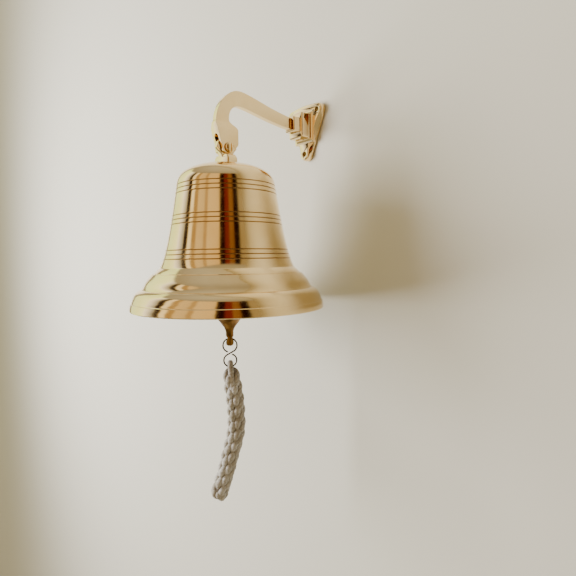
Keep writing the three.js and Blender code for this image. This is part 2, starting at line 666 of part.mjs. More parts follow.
const part = new THREE.Group();
part.add(
  mesh('wall_plate', wallPlate(), polishedBrass),
  mesh('arm_screw', armScrew(), castBrass),
  mesh('bracket_arm', bracketArm(), polishedBrass),
  at(0, -REACH, -PIN_DROP,
    mesh('pivot_bolt', pivotBolt(), polishedBrass),
    mesh('pivot_washer', pivotWasher(), polishedBrass),
    mesh('pivot_nut', pivotNut(), polishedBrass),
    at(0, 0, -LUG_RISE, mesh('crown_lug', crownLug(), polishedBrass))),
  at(0, -REACH, RIM_Z,
    mesh('bell_shell', bellShell(), polishedBrass),
    mesh('crown_washer', crownWasher(), castBrass),
    mesh('crown_nut', crownNut(), castBrass),
    mesh('eye_bolt', eyeBolt(), castBrass),
    mesh('clapper_link', clapperLink(), castBrass),
    mesh('clapper', clapper(), castBrass),
    mesh('s_hook', sHook(), darkBronze),
    mesh('lanyard_eye', lanyardEye(), cotton),
    mesh('lanyard_braid', lanyardBraid(), cotton)),
);
export default part;
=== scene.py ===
"""Ship bell: the visual model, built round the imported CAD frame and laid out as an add-on.

Every piece is placed from the frame's own boxes and joints, in metres, +Z up. The wall is the plane
Y = 0, the arm reaches out along -Y and the pivot bolt lies along X.
"""

import json
import math

import bmesh
import bpy
from mathutils import Matrix, Vector, noise

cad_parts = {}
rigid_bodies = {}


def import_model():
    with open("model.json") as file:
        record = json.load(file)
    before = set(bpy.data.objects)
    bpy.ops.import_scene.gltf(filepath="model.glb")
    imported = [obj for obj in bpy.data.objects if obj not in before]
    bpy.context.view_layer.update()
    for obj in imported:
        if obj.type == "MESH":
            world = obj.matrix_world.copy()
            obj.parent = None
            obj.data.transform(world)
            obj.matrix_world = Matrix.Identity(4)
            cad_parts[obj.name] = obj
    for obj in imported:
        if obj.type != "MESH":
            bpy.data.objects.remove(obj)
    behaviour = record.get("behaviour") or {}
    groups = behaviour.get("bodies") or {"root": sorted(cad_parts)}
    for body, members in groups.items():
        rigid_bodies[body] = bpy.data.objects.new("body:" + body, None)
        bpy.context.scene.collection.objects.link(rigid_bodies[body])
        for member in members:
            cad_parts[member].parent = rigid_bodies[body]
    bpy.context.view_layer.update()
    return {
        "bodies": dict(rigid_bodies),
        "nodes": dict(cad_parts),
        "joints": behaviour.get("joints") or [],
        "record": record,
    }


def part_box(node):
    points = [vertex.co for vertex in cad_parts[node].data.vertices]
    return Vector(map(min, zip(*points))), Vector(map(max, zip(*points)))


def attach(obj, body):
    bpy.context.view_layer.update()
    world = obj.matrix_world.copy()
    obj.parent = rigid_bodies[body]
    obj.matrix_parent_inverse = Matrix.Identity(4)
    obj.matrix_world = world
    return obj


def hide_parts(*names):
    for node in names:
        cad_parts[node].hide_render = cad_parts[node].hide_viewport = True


bl_info = {
    "name": "Ship Bell",
    "version": (1, 0, 0),
    "blender": (4, 5, 0),
    "location": "View3D > Sidebar > Ship Bell",
    "description": "Builds a wall-mounted brass ship bell round its CAD frame",
    "category": "Add Mesh",
}

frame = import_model()
MM = 0.001


# ---------------------------------------------------------------- places taken from the frame
def joint_place(name):
    joint = next(j for j in frame["joints"] if j["name"] == name)
    return Vector(joint["pos_m"]), Vector(joint["axis"]).normalized()


SHELL_LOW, SHELL_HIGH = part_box("bell_shell")
AXIS = Vector(((SHELL_LOW.x + SHELL_HIGH.x) / 2, (SHELL_LOW.y + SHELL_HIGH.y) / 2, SHELL_LOW.z))
RIM_R = (SHELL_HIGH.x - SHELL_LOW.x) / 2
BELL_HEIGHT = SHELL_HIGH.z - SHELL_LOW.z
PIN = joint_place("bell_swing")[0]
TAIL_HOLE, HOOK_SIDE = joint_place("hook_swing")
HOOK_FACE = joint_place("lanyard_swing")[1]
BOSS_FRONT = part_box("wall_plate")[0].y
BOSS_Z = sum(v.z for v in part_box("arm_screw")) / 2


# ---------------------------------------------------------------- what a user would change
class ShipBellSizes(bpy.types.PropertyGroup):
    groove_width: bpy.props.FloatProperty(
        name="Groove width", description="Width of each turned line", default=1.0 * MM, unit="LENGTH")
    groove_depth: bpy.props.FloatProperty(
        name="Groove depth", description="Depth of each turned line", default=0.4 * MM, unit="LENGTH")
    groove_pitch: bpy.props.FloatProperty(
        name="Groove pitch", description="Spacing of the lines in a group", default=3.9 * MM, unit="LENGTH")
    wall: bpy.props.FloatProperty(
        name="Bell wall", description="Thickness of the waist", default=3.3 * MM, unit="LENGTH")
    turned_steps: bpy.props.IntProperty(
        name="Turned steps", description="Steps round the bell", default=220, min=24)
    cord_diameter: bpy.props.FloatProperty(
        name="Cord diameter", description="Thickness of the cotton cord", default=5.4 * MM, unit="LENGTH")
    braid_diameter: bpy.props.FloatProperty(
        name="Braid diameter", description="Across the braid", default=18 * MM, unit="LENGTH")
    braid_columns: bpy.props.IntProperty(
        name="Braid columns", description="Columns of bights round the braid", default=8, min=4)
    braid_pitch: bpy.props.FloatProperty(
        name="Braid pitch", description="Spacing of the bights in one column", default=11.2 * MM, unit="LENGTH")


class ShipBellColours(bpy.types.PropertyGroup):
    brass: bpy.props.StringProperty(
        name="Brass", description="Polished brass, sRGB", default="#F2D7A2")
    brass_warm: bpy.props.StringProperty(
        name="Warm brass", description="Brass under old lacquer, sRGB", default="#E8C788")
    tarnish: bpy.props.StringProperty(
        name="Tarnish", description="Brown left in the turned lines, sRGB", default="#8C6230")
    rough_brass: bpy.props.StringProperty(
        name="Cast brass", description="Unpolished casting, sRGB", default="#8A6430")
    wire: bpy.props.StringProperty(
        name="Wire", description="Bronzed steel wire, sRGB", default="#3A2C22")
    cotton: bpy.props.StringProperty(
        name="Cotton", description="Cotton cord, sRGB", default="#BDBAB2")
    # painted shade: the cotton's colour where it lies deep between the strands and in the creases between the yarns
    cotton_shade: bpy.props.StringProperty(
        name="Shadowed cotton", description="Cotton between the strands, sRGB", default="#6F6557")


def sizes():
    return bpy.context.scene.ship_bell_sizes


def colours():
    return bpy.context.scene.ship_bell_colours


# ---------------------------------------------------------------- node helpers
def linear(code):
    """An sRGB hex colour as linear RGBA."""
    channels = [int(code[i:i + 2], 16) / 255 for i in (1, 3, 5)]
    return [c / 12.92 if c <= 0.04045 else ((c + 0.055) / 1.055) ** 2.4 for c in channels] + [1.0]


def give(tree, node, inputs):
    """Sets a node's inputs, each a value, a socket to link, or a node whose first output is linked."""
    for key, value in inputs.items():
        if isinstance(value, bpy.types.Node):
            value = next(socket for socket in value.outputs if socket.enabled)
        if isinstance(value, bpy.types.NodeSocket):
            tree.links.new(value, node.inputs[key])
        else:
            node.inputs[key].default_value = value


def add(tree, kind, inputs, stops=(), **settings):
    """A node with its settings, its inputs, and for a colour ramp its (position, linear RGBA) stops."""
    made = tree.nodes.new(kind)
    for key, value in settings.items():
        setattr(made, key, value)
    give(tree, made, inputs)
    if stops:
        elements = made.color_ramp.elements
        elements[0].position, elements[0].color = stops[0]
        elements[-1].position, elements[-1].color = stops[-1]
        for position, colour in stops[1:-1]:
            elements.new(position).color = colour
    return made


def grey(value):
    return (value, value, value, 1.0)


def scaled(colour, strength):
    return [strength * v for v in colour[:3]] + [1.0]


def new_material(name):
    material = bpy.data.materials.new(name)
    material.use_nodes = True
    tree = material.node_tree
    shader = next(n for n in tree.nodes if n.type == "BSDF_PRINCIPLED")
    place = add(tree, "ShaderNodeTexCoord", {}).outputs["Object"]
    return material, tree, shader, place


def per_mm(wavelength):
    """Texture scale for a feature of that many millimetres."""
    return 1 / (wavelength * MM)


# ---------------------------------------------------------------- materials
RGBA = {"data_type": "RGBA"}  # Mix: 0 is the factor, 6 and 7 the two colours


def polished_brass():
    """Cast brass, turned and buffed to a mirror, then lacquered: sharp warm reflections that waver a
    little where the wheel dragged, and brown polish left in the turned lines."""
    material, tree, shader, place = new_material("polished_lacquered_brass")
    c = colours()
    lacquer = add(tree, "ShaderNodeTexNoise", {"Vector": place, "Scale": per_mm(38), "Detail": 3.0})
    aged = add(tree, "ShaderNodeValToRGB", {0: lacquer}, [(0.42, grey(0)), (0.66, grey(0.75))])
    body = add(tree, "ShaderNodeMix", {0: aged, 6: linear(c.brass), 7: linear(c.brass_warm)}, **RGBA)
    groove = add(tree, "ShaderNodeAttribute", {}, attribute_name="groove").outputs["Fac"]
    pits = add(tree, "ShaderNodeTexVoronoi", {"Vector": place, "Scale": per_mm(16), "Randomness": 1.0})
    pit = add(tree, "ShaderNodeValToRGB", {0: pits}, [
        (0.0, grey(0.55)), (0.022, grey(0.4)), (0.034, grey(0))])
    dirt = add(tree, "ShaderNodeMath", {0: groove, 1: pit}, operation="MAXIMUM")
    colour = add(tree, "ShaderNodeMix", {0: dirt, 6: body, 7: linear(c.tarnish)}, **RGBA)
    smear = add(tree, "ShaderNodeTexNoise", {
        "Vector": place, "Scale": per_mm(13), "Detail": 5.0, "Roughness": 0.6})
    haze = add(tree, "ShaderNodeMapRange", {"Value": smear, 1: 0.4, 2: 0.75, 3: 0.09, 4: 0.16})
    rough = add(tree, "ShaderNodeMath", {0: dirt, 1: 0.3, 2: haze}, operation="MULTIPLY_ADD")
    # the wheel's drag: broad shallow waves, and fine lines round the axis
    waves = add(tree, "ShaderNodeTexNoise", {"Vector": place, "Scale": per_mm(30), "Detail": 1.0})
    broad = add(tree, "ShaderNodeBump", {"Height": waves, "Strength": 0.12, "Distance": 0.5 * MM})
    stretched = add(tree, "ShaderNodeMapping", {"Vector": place, "Scale": (0.15, 0.15, 4.0)})
    lines = add(tree, "ShaderNodeTexNoise", {"Vector": stretched, "Scale": per_mm(3), "Detail": 2.0})
    fine = add(tree, "ShaderNodeBump", {
        "Height": lines, "Strength": 0.03, "Distance": 0.1 * MM, "Normal": broad})
    # inside, the tool marks are left unpolished and the metal has browned
    raw = add(tree, "ShaderNodeAttribute", {}, attribute_name="raw").outputs["Fac"]
    unpolished = add(tree, "ShaderNodeMix", {0: raw, 6: colour, 7: linear("#A98247")}, **RGBA)
    dulled = add(tree, "ShaderNodeMath", {0: raw, 1: 0.3, 2: rough}, operation="MULTIPLY_ADD")
    give(tree, shader, {"Base Color": unpolished, "Roughness": dulled, "Normal": fine, "Metallic": 1.0})
    return material


def cast_brass():
    """Sand-cast brass left as it came from the mould: a dull brown skin, grainy, with a little bright
    metal where it has rubbed."""
    material, tree, shader, place = new_material("sand_cast_brass")
    skin = linear(colours().rough_brass)
    grain = add(tree, "ShaderNodeTexNoise", {
        "Vector": place, "Scale": per_mm(1.6), "Detail": 6.0, "Roughness": 0.7})
    patches = add(tree, "ShaderNodeTexNoise", {"Vector": place, "Scale": per_mm(9), "Detail": 3.0})
    colour = add(tree, "ShaderNodeValToRGB", {0: patches}, [
        (0.34, scaled(skin, 0.45)), (0.55, skin), (0.74, linear("#B58C4C"))])
    rough = add(tree, "ShaderNodeMapRange", {"Value": patches, 1: 0.3, 2: 0.7, 3: 0.55, 4: 0.36})
    sand = add(tree, "ShaderNodeBump", {"Height": grain, "Strength": 0.55, "Distance": 0.35 * MM})
    give(tree, shader, {"Base Color": colour, "Roughness": rough, "Normal": sand, "Metallic": 1.0})
    return material


def bronzed_wire():
    """Drawn steel wire with a dark bronze finish: near black, satin, worn brown in places."""
    material, tree, shader, place = new_material("bronzed_steel_wire")
    wear = add(tree, "ShaderNodeTexNoise", {"Vector": place, "Scale": per_mm(2.5), "Detail": 4.0})
    colour = add(tree, "ShaderNodeValToRGB", {0: wear}, [
        (0.45, linear(colours().wire)), (0.75, linear("#6B4C33"))])
    rough = add(tree, "ShaderNodeMapRange", {"Value": wear, 1: 0.3, 2: 0.7, 3: 0.34, 4: 0.5})
    bump = add(tree, "ShaderNodeBump", {"Height": wear, "Strength": 0.1, "Distance": 0.1 * MM})
    give(tree, shader, {"Base Color": colour, "Roughness": rough, "Normal": bump, "Metallic": 0.9})
    return material


def zinc_plated_steel():
    """Zinc-plated screw steel: pale grey with a faint cloudy bloom."""
    material, tree, shader, place = new_material("zinc_plated_steel")
    bloom = add(tree, "ShaderNodeTexNoise", {"Vector": place, "Scale": per_mm(2), "Detail": 3.0})
    colour = add(tree, "ShaderNodeValToRGB", {0: bloom}, [
        (0.3, linear("#8F9194")), (0.7, linear("#B4B6B8"))])
    rough = add(tree, "ShaderNodeMapRange", {"Value": bloom, 1: 0.3, 2: 0.7, 3: 0.3, 4: 0.45})
    give(tree, shader, {"Base Color": colour, "Roughness": rough, "Metallic": 1.0})
    return material


def cotton_cord():
    """Soft laid cotton: matt, slightly fuzzy, its yarns slanting round each strand (UV runs along the
    strand), with painted shade, greyer and browner, down between the strands and in the creases between the yarns."""
    material, tree, shader, place = new_material("laid_cotton_cord")
    painted_shade = linear(colours().cotton_shade)
    uv = add(tree, "ShaderNodeUVMap", {}, uv_map="strand")
    slant = add(tree, "ShaderNodeMapping", {"Vector": uv, "Rotation": (0, 0, math.radians(32))})
    yarn = add(tree, "ShaderNodeTexWave", {
        "Vector": slant, "Scale": per_mm(1.5) / 6.3, "Distortion": 1.2, "Detail": 2.0,
        "Detail Scale": 1.5}, wave_type="BANDS", bands_direction="X", wave_profile="SIN").outputs["Fac"]
    fibre = add(tree, "ShaderNodeTexNoise", {
        "Vector": place, "Scale": per_mm(0.5), "Detail": 5.0, "Roughness": 0.75})
    soil = add(tree, "ShaderNodeTexNoise", {"Vector": place, "Scale": per_mm(14), "Detail": 3.0})
    # painted shade: the colour goes darker where the strand lies deep between its neighbours
    depth = add(tree, "ShaderNodeAttribute", {}, attribute_name="depth").outputs["Fac"]
    clean = add(tree, "ShaderNodeValToRGB", {0: soil}, [
        (0.35, linear(colours().cotton)), (0.7, linear("#9A9384"))])
    shaded = add(tree, "ShaderNodeMix", {0: depth, 6: clean, 7: painted_shade}, **RGBA)
    # painted shade in the creases between the yarns
    between = add(tree, "ShaderNodeValToRGB", {0: yarn}, [(0.0, grey(0.30)), (0.4, grey(0.0))])
    yarn_crease_shade = add(tree, "ShaderNodeMix", {0: between, 6: shaded, 7: painted_shade}, **RGBA)
    both = add(tree, "ShaderNodeMath", {0: fibre, 1: 0.45, 2: yarn}, operation="MULTIPLY_ADD")
    bump = add(tree, "ShaderNodeBump", {"Height": both, "Strength": 0.6, "Distance": 0.35 * MM})
    give(tree, shader, {"Base Color": yarn_crease_shade, "Normal": bump, "Roughness": 0.95,
                        "Sheen Weight": 0.25, "Sheen Roughness": 0.5})
    return material


def painted_plaster():
    """Matt emulsion on plaster, seen from its room side only, so the object shows from behind."""
    material, tree, shader, place = new_material("painted_plaster")
    roller = add(tree, "ShaderNodeTexNoise", {"Vector": place, "Scale": per_mm(3.5), "Detail": 4.0})
    bump = add(tree, "ShaderNodeBump", {"Height": roller, "Strength": 0.06, "Distance": 0.3 * MM})
    give(tree, shader, {"Base Color": linear("#CFCCBF"), "Roughness": 0.85, "Normal": bump})
    clear = add(tree, "ShaderNodeBsdfTransparent", {})
    back = add(tree, "ShaderNodeNewGeometry", {}).outputs["Backfacing"]
    side = add(tree, "ShaderNodeMixShader", {0: back, 1: shader, 2: clear})
    give(tree, next(n for n in tree.nodes if n.type == "OUTPUT_MATERIAL"), {"Surface": side})
    return material


def pale_floor():
    """Pale sealed studio floor, matt."""
    material, tree, shader, place = new_material("pale_studio_floor")
    cloud = add(tree, "ShaderNodeTexNoise", {"Vector": place, "Scale": per_mm(180), "Detail": 3.0})
    colour = add(tree, "ShaderNodeValToRGB", {0: cloud}, [
        (0.3, linear("#CFCBC3")), (0.7, linear("#D8D4CC"))])
    give(tree, shader, {"Base Color": colour, "Roughness": 0.7})
    return material


MATERIALS = {}
MAKERS = {
    "polished_brass": polished_brass, "cast_brass": cast_brass, "dark_wire": bronzed_wire,
    "steel_screw": zinc_plated_steel, "cotton_cord": cotton_cord,
    "wall": painted_plaster, "floor": pale_floor,
}


def material_for(slot):
    if slot not in MATERIALS:
        MATERIALS[slot] = MAKERS[slot]()
    return MATERIALS[slot]


# ---------------------------------------------------------------- mesh helpers
def object_from(name, bm):
    """Merges doubles, turns faces outwards and links the mesh as an object at the origin."""
    bmesh.ops.remove_doubles(bm, verts=bm.verts, dist=1e-6)
    bmesh.ops.recalc_face_normals(bm, faces=bm.faces)
    mesh = bpy.data.meshes.new(name)
    bm.to_mesh(mesh)
    bm.free()
    obj = bpy.data.objects.new(name, mesh)
    bpy.context.scene.collection.objects.link(obj)
    return obj


def settle(obj, smooth_angle=35):
    """Turns the evaluated object, modifiers and all, into a plain mesh with crisp edges kept sharp."""
    bpy.context.view_layer.update()
    graph = bpy.context.evaluated_depsgraph_get()
    mesh = bpy.data.meshes.new_from_object(
        obj.evaluated_get(graph), preserve_all_data_layers=True, depsgraph=graph)
    obj.modifiers.clear()
    old = obj.data
    obj.data = mesh
    mesh.name = obj.name
    if old.users == 0 and isinstance(old, bpy.types.Mesh):
        bpy.data.meshes.remove(old)
    mesh.polygons.foreach_set("use_smooth", [True] * len(mesh.polygons))
    mesh.set_sharp_from_angle(angle=math.radians(smooth_angle))
    return obj


def fit_out(obj, slot, body, *nodes):
    """Gives a settled piece its finish and its body, and hides the CAD nodes that it stands for."""
    obj.data.materials.clear()
    obj.data.materials.append(material_for(slot))
    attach(obj, body)
    if nodes:
        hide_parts(*nodes)
    return obj


def discard(*objects):
    for obj in objects:
        bpy.data.objects.remove(obj)


def boolean(obj, tool, operation):
    modifier = obj.modifiers.new("cut", "BOOLEAN")
    modifier.object = tool
    modifier.operation = operation
    modifier.solver = "EXACT"
    settle(obj)
    discard(tool)
    return obj


def bevelled(obj, width, segments=3, angle=32):
    modifier = obj.modifiers.new("soft edges", "BEVEL")
    modifier.width = width
    modifier.segments = segments
    modifier.limit_method = "ANGLE"
    modifier.angle_limit = math.radians(angle)
    modifier.use_clamp_overlap = True
    return settle(obj, 30)


def turned(name, profile, centre, direction=(0, 0, 1), steps=64):
    """A lathe piece from (radius, height) pairs in millimetres that start and end on the axis, or
    close on themselves."""
    bm = bmesh.new()
    turn = Vector((0, 0, 1)).rotation_difference(Vector(direction)).to_matrix().to_4x4()
    place = Matrix.Translation(centre) @ turn
    rows = []
    for radius, height in profile:
        if radius < 1e-6:
            rows.append([bm.verts.new(place @ Vector((0, 0, height * MM)))])
            continue
        rows.append([
            bm.verts.new(place @ Vector((
                radius * MM * math.cos(2 * math.pi * i / steps),
                radius * MM * math.sin(2 * math.pi * i / steps), height * MM)))
            for i in range(steps)])
    for low, high in zip(rows, rows[1:]):
        for i in range(steps):
            j = (i + 1) % steps
            corners = [low[i % len(low)], low[j % len(low)], high[j % len(high)], high[i % len(high)]]
            unique = list(dict.fromkeys(corners))
            if len(unique) > 2:
                bm.faces.new(unique)
    return object_from(name, bm)


def lofted(name, sections):
    """A closed skin over sections with the same number of points."""
    bm = bmesh.new()
    rows = [[bm.verts.new(p) for p in section] for section in sections]
    count = len(rows[0])
    for low, high in zip(rows, rows[1:]):
        for i in range(count):
            j = (i + 1) % count
            bm.faces.new((low[i], low[j], high[j], high[i]))
    bm.faces.new(rows[0])
    bm.faces.new(rows[-1])
    return object_from(name, bm)


def slab(name, outline, half, place, right, up, normal):
    """A flat outline of (across, up) pairs in millimetres, extruded to both sides of place."""
    def section(side):
        return [place + (right * a + up * b) * MM + normal * (side * half * MM) for a, b in outline]
    return lofted(name, [section(-1), section(1)])


def block(name, low, high):
    bm = bmesh.new()
    bmesh.ops.create_cube(bm, size=1)
    centre = (Vector(low) + Vector(high)) / 2
    size = Vector(high) - Vector(low)
    for v in bm.verts:
        v.co = centre + Vector((v.co.x * size.x, v.co.y * size.y, v.co.z * size.z))
    return object_from(name, bm)


def ring(name, centre, axis, radius, wire, steps=72, sides=20):
    bm = bmesh.new()
    turn = Vector((0, 0, 1)).rotation_difference(Vector(axis)).to_matrix().to_4x4()
    place = Matrix.Translation(centre) @ turn
    rows = []
    for i in range(steps):
        a = 2 * math.pi * i / steps
        rows.append([bm.verts.new(place @ Vector((
            (radius + wire * math.cos(b)) * MM * math.cos(a),
            (radius + wire * math.cos(b)) * MM * math.sin(a), wire * MM * math.sin(b))))
            for b in (2 * math.pi * k / sides for k in range(sides))])
    for i in range(steps):
        low, high = rows[i], rows[(i + 1) % steps]
        for k in range(sides):
            m = (k + 1) % sides
            bm.faces.new((low[k], low[m], high[m], high[k]))
    return object_from(name, bm)


def bezier(a, b, c, d, steps):
    points = []
    for i in range(steps + 1):
        t = i / steps
        s = 1 - t
        points.append(tuple(
            s ** 3 * a[k] + 3 * s * s * t * b[k] + 3 * s * t * t * c[k] + t ** 3 * d[k] for k in (0, 1)))
    return points


def arc(centre, radius, start, end, steps):
    """Points on an arc, angles in degrees."""
    return [(centre[0] + radius * math.cos(math.radians(start + (end - start) * i / steps)),
             centre[1] + radius * math.sin(math.radians(start + (end - start) * i / steps)))
            for i in range(steps + 1)]


def lerp(a, b, t):
    return a + (b - a) * t


X, Y, Z = Vector((1, 0, 0)), Vector((0, 1, 0)), Vector((0, 0, 1))


# ---------------------------------------------------------------- stage
WALL_HALF = 4.5
FLOOR_DROP = 1.9
CAMERA_BACK = Vector((0.3448, -0.2353, 0.04393))  # from the rim's centre
CAMERA_TURN = (0.743, 0.669)  # -X and +Y shares of where it looks
CAMERA_PITCH = math.radians(3.68)
CAMERA_ROLL = math.radians(-0.78)
LENS_MM = 27.5


def make_camera():
    data = bpy.data.cameras.new("studio_camera")
    data.lens = LENS_MM
    data.sensor_width = 36.0
    data.clip_start = 0.01
    level = Vector((-CAMERA_TURN[0], CAMERA_TURN[1], 0)).normalized()
    forward = (level * math.cos(CAMERA_PITCH) - Z * math.sin(CAMERA_PITCH)).normalized()
    side = forward.cross(Z).normalized()
    top = side.cross(forward)
    right = side * math.cos(CAMERA_ROLL) + top * math.sin(CAMERA_ROLL)
    up = top * math.cos(CAMERA_ROLL) - side * math.sin(CAMERA_ROLL)
    camera = bpy.data.objects.new("studio_camera", data)
    camera.matrix_world = Matrix.Translation(AXIS + CAMERA_BACK) @ Matrix(
        (right, up, -forward)).transposed().to_4x4()
    bpy.context.scene.collection.objects.link(camera)
    bpy.context.scene.camera = camera


# what stands round the bell: where each thing begins (degrees from +X, turning towards +Y), and its
# colour and brightness. The wall itself takes the other half.
SURROUNDINGS = [
    (-180, "#E2F2B4", 3.4), (-160, "#E2F2B4", 3.8), (-146, "#EDF6CC", 4.0), (-143, "#FFFFFF", 3.4),
    (-133, "#F2F0EC", 1.7), (-129, "#E4DCCB", 1.3), (-127, "#5E4226", 0.5), (-119, "#6B4A28", 0.55),
    (-117, "#FFEFC6", 2.9), (-111, "#FFEFC6", 2.8), (-108, "#E9BE7A", 1.2), (-101, "#E9BE7A", 1.2),
    (-98, "#FFDFA6", 1.75), (-84, "#FFDFA6", 1.6), (-82, "#E8C084", 1.35), (-77, "#E8C084", 1.35),
    (-75, "#FFDFA6", 1.75), (-51, "#FFD99A", 1.75), (-49, "#6E1A08", 0.2), (-40, "#6E1A08", 0.2),
    (-38.5, "#C8401C", 0.62), (-31, "#C8401C", 0.62), (-29.5, "#D09254", 0.85), (-21.5, "#C88848", 0.8),
    (-20, "#641606", 0.16), (-11.5, "#641606", 0.16), (-8, "#E2C894", 1.0), (4, "#E2CFA4", 1.0),
    (179, "#D8CBA8", 0.9),
]


def make_world():
    """The room as the brass mirrors it: a tall window, warm lit walls, dark doorways, a pale ceiling."""
    world = bpy.data.worlds.new("studio_room")
    bpy.context.scene.world = world
    world.use_nodes = True
    tree = world.node_tree
    toward = add(tree, "ShaderNodeTexCoord", {}).outputs["Generated"]
    parts = add(tree, "ShaderNodeSeparateXYZ", {0: toward}).outputs
    height = parts[2]
    turn = add(tree, "ShaderNodeMath", {0: parts[1], 1: parts[0]}, operation="ARCTAN2")
    share = add(tree, "ShaderNodeMapRange", {"Value": turn, 1: -math.pi, 2: math.pi, 3: 0.0, 4: 1.0})
    round_about = add(tree, "ShaderNodeValToRGB", {0: share}, [
        ((degrees + 180) / 360, scaled(linear(code), strength)) for degrees, code, strength in SURROUNDINGS])
    ceiling = add(tree, "ShaderNodeValToRGB", {0: height}, [
        (0.6, scaled(linear("#E6D9BC"), 0.75)), (1.0, scaled(linear("#F4ECD8"), 1.3))])
    above = add(tree, "ShaderNodeMapRange", {"Value": height, 1: 0.68, 2: 0.71, 3: 0.0, 4: 1.0})
    below = add(tree, "ShaderNodeMapRange", {"Value": height, 1: -0.5, 2: -0.62, 3: 0.0, 4: 1.0})
    with_ceiling = add(tree, "ShaderNodeMix", {0: above, 6: round_about, 7: ceiling}, **RGBA)
    with_floor = add(tree, "ShaderNodeMix", {
        0: below, 6: with_ceiling, 7: scaled(linear("#C9B9A0"), 0.45)}, **RGBA)
    # only the brass mirrors the room: looked at directly, it is a plain pale studio
    direct = add(tree, "ShaderNodeLightPath", {}).outputs["Is Camera Ray"]
    seen = add(tree, "ShaderNodeMix", {0: direct, 6: with_floor, 7: linear("#D6D1C6")}, **RGBA)
    give(tree, next(n for n in tree.nodes if n.type == "BACKGROUND"), {"Color": seen, "Strength": 0.62})


def plane(name, corners, slot):
    bm = bmesh.new()
    bm.faces.new([bm.verts.new(c) for c in corners])
    mesh = bpy.data.meshes.new(name)
    bm.to_mesh(mesh)
    bm.free()
    obj = bpy.data.objects.new(name, mesh)
    bpy.context.scene.collection.objects.link(obj)
    mesh.materials.append(material_for(slot))
    return obj


def area_light(name, place, target, size, power, colour):
    data = bpy.data.lights.new(name, "AREA")
    data.shape = "RECTANGLE"
    data.size, data.size_y = size
    data.energy = power
    data.color = linear(colour)[:3]
    light = bpy.data.objects.new(name, data)
    light.matrix_world = Matrix.Translation(place) @ (
        Vector(target) - Vector(place)).to_track_quat("-Z", "Y").to_matrix().to_4x4()
    bpy.context.scene.collection.objects.link(light)
    return light


class SHIPBELL_OT_stage(bpy.types.Operator):
    """Camera, room light, the wall that carries the bell and a pale floor"""
    bl_idname = "ship_bell.stage"
    bl_label = "Stage"

    def execute(self, context):
        make_camera()
        make_world()
        gap = 0.0006
        w, f = WALL_HALF, FLOOR_DROP
        plane("room_wall", [(-w, gap, -f), (w, gap, -f), (w, gap, w), (-w, gap, w)], "wall")
        plane("room_floor", [(-w, gap, -f), (-w, -2 * w, -f), (w, -2 * w, -f), (w, gap, -f)], "floor")
        window = area_light("window_light", (-0.88, -0.98, -0.1), (0, 0, -0.15), (0.75, 0.9), 40, "#FBFBFF")
        window.visible_glossy = False  # the brass mirrors the room's own window
        bounce = area_light("ceiling_bounce", (0.3, -1.2, 1.6), (0, -0.1, -0.1), (1.8, 1.8), 1.5, "#FFEBC4")
        bounce.visible_glossy = False
        return {"FINISHED"}


# ---------------------------------------------------------------- lanyard
# The braid's middle line, in metres: sideways in the hook's plane, and up from the foot loop's centre
BRAID_ROUTE = [(s * MM, z * MM) for s, z in [
    (0.4, -13.6), (1.1, -18), (2.1, -25), (3.1, -33), (3.9, -41), (4.4, -49), (4.6, -57),
    (4.3, -65), (3.1, -73), (1.2, -81), (-0.9, -88), (-3, -96), (-5.3, -104), (-7.6, -111.5),
    (-9.8, -118.5), (-12, -125.5), (-13.6, -130.6)]]
HOOK_WIRE_R = 0.7 * MM
HOOK_FOOT_R = 6.05 * MM
HOOK_TOP_R = 6.6 * MM
HOOK_WAIST = 1.75 * MM
FOOT_CENTRE = Vector((AXIS.x, AXIS.y, 0)) + Z * (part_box("s_hook")[0].z + HOOK_WIRE_R + HOOK_FOOT_R)


def on_hook(side, up, out=0.0):
    """A point from the foot loop's centre: sideways in the hook's plane, up, and out of that plane."""
    return FOOT_CENTRE + HOOK_SIDE * side + Z * up + HOOK_FACE * out


def sweep(points, per=8):
    """A smooth Catmull-Rom line through the points."""
    line = []
    count = len(points)
    for i in range(count - 1):
        a = points[max(i - 1, 0)]
        b, c = points[i], points[i + 1]
        d = points[min(i + 2, count - 1)]
        for k in range(per):
            t = k / per
            line.append(0.5 * ((2 * b) + (c - a) * t + (2 * a - 5 * b + 4 * c - d) * t * t
                               + (3 * b - a - 3 * c + d) * t ** 3))
    line.append(points[-1])
    return line


def frames_along(points, first_out):
    """(point, tangent, out, side) along a line, the out direction carried along without twist."""
    frames = []
    out = first_out
    for i, p in enumerate(points):
        ahead = points[min(i + 1, len(points) - 1)] - points[max(i - 1, 0)]
        tangent = ahead.normalized()
        out = (out - tangent * out.dot(tangent)).normalized()
        frames.append((p, tangent, out, tangent.cross(out)))
    return frames


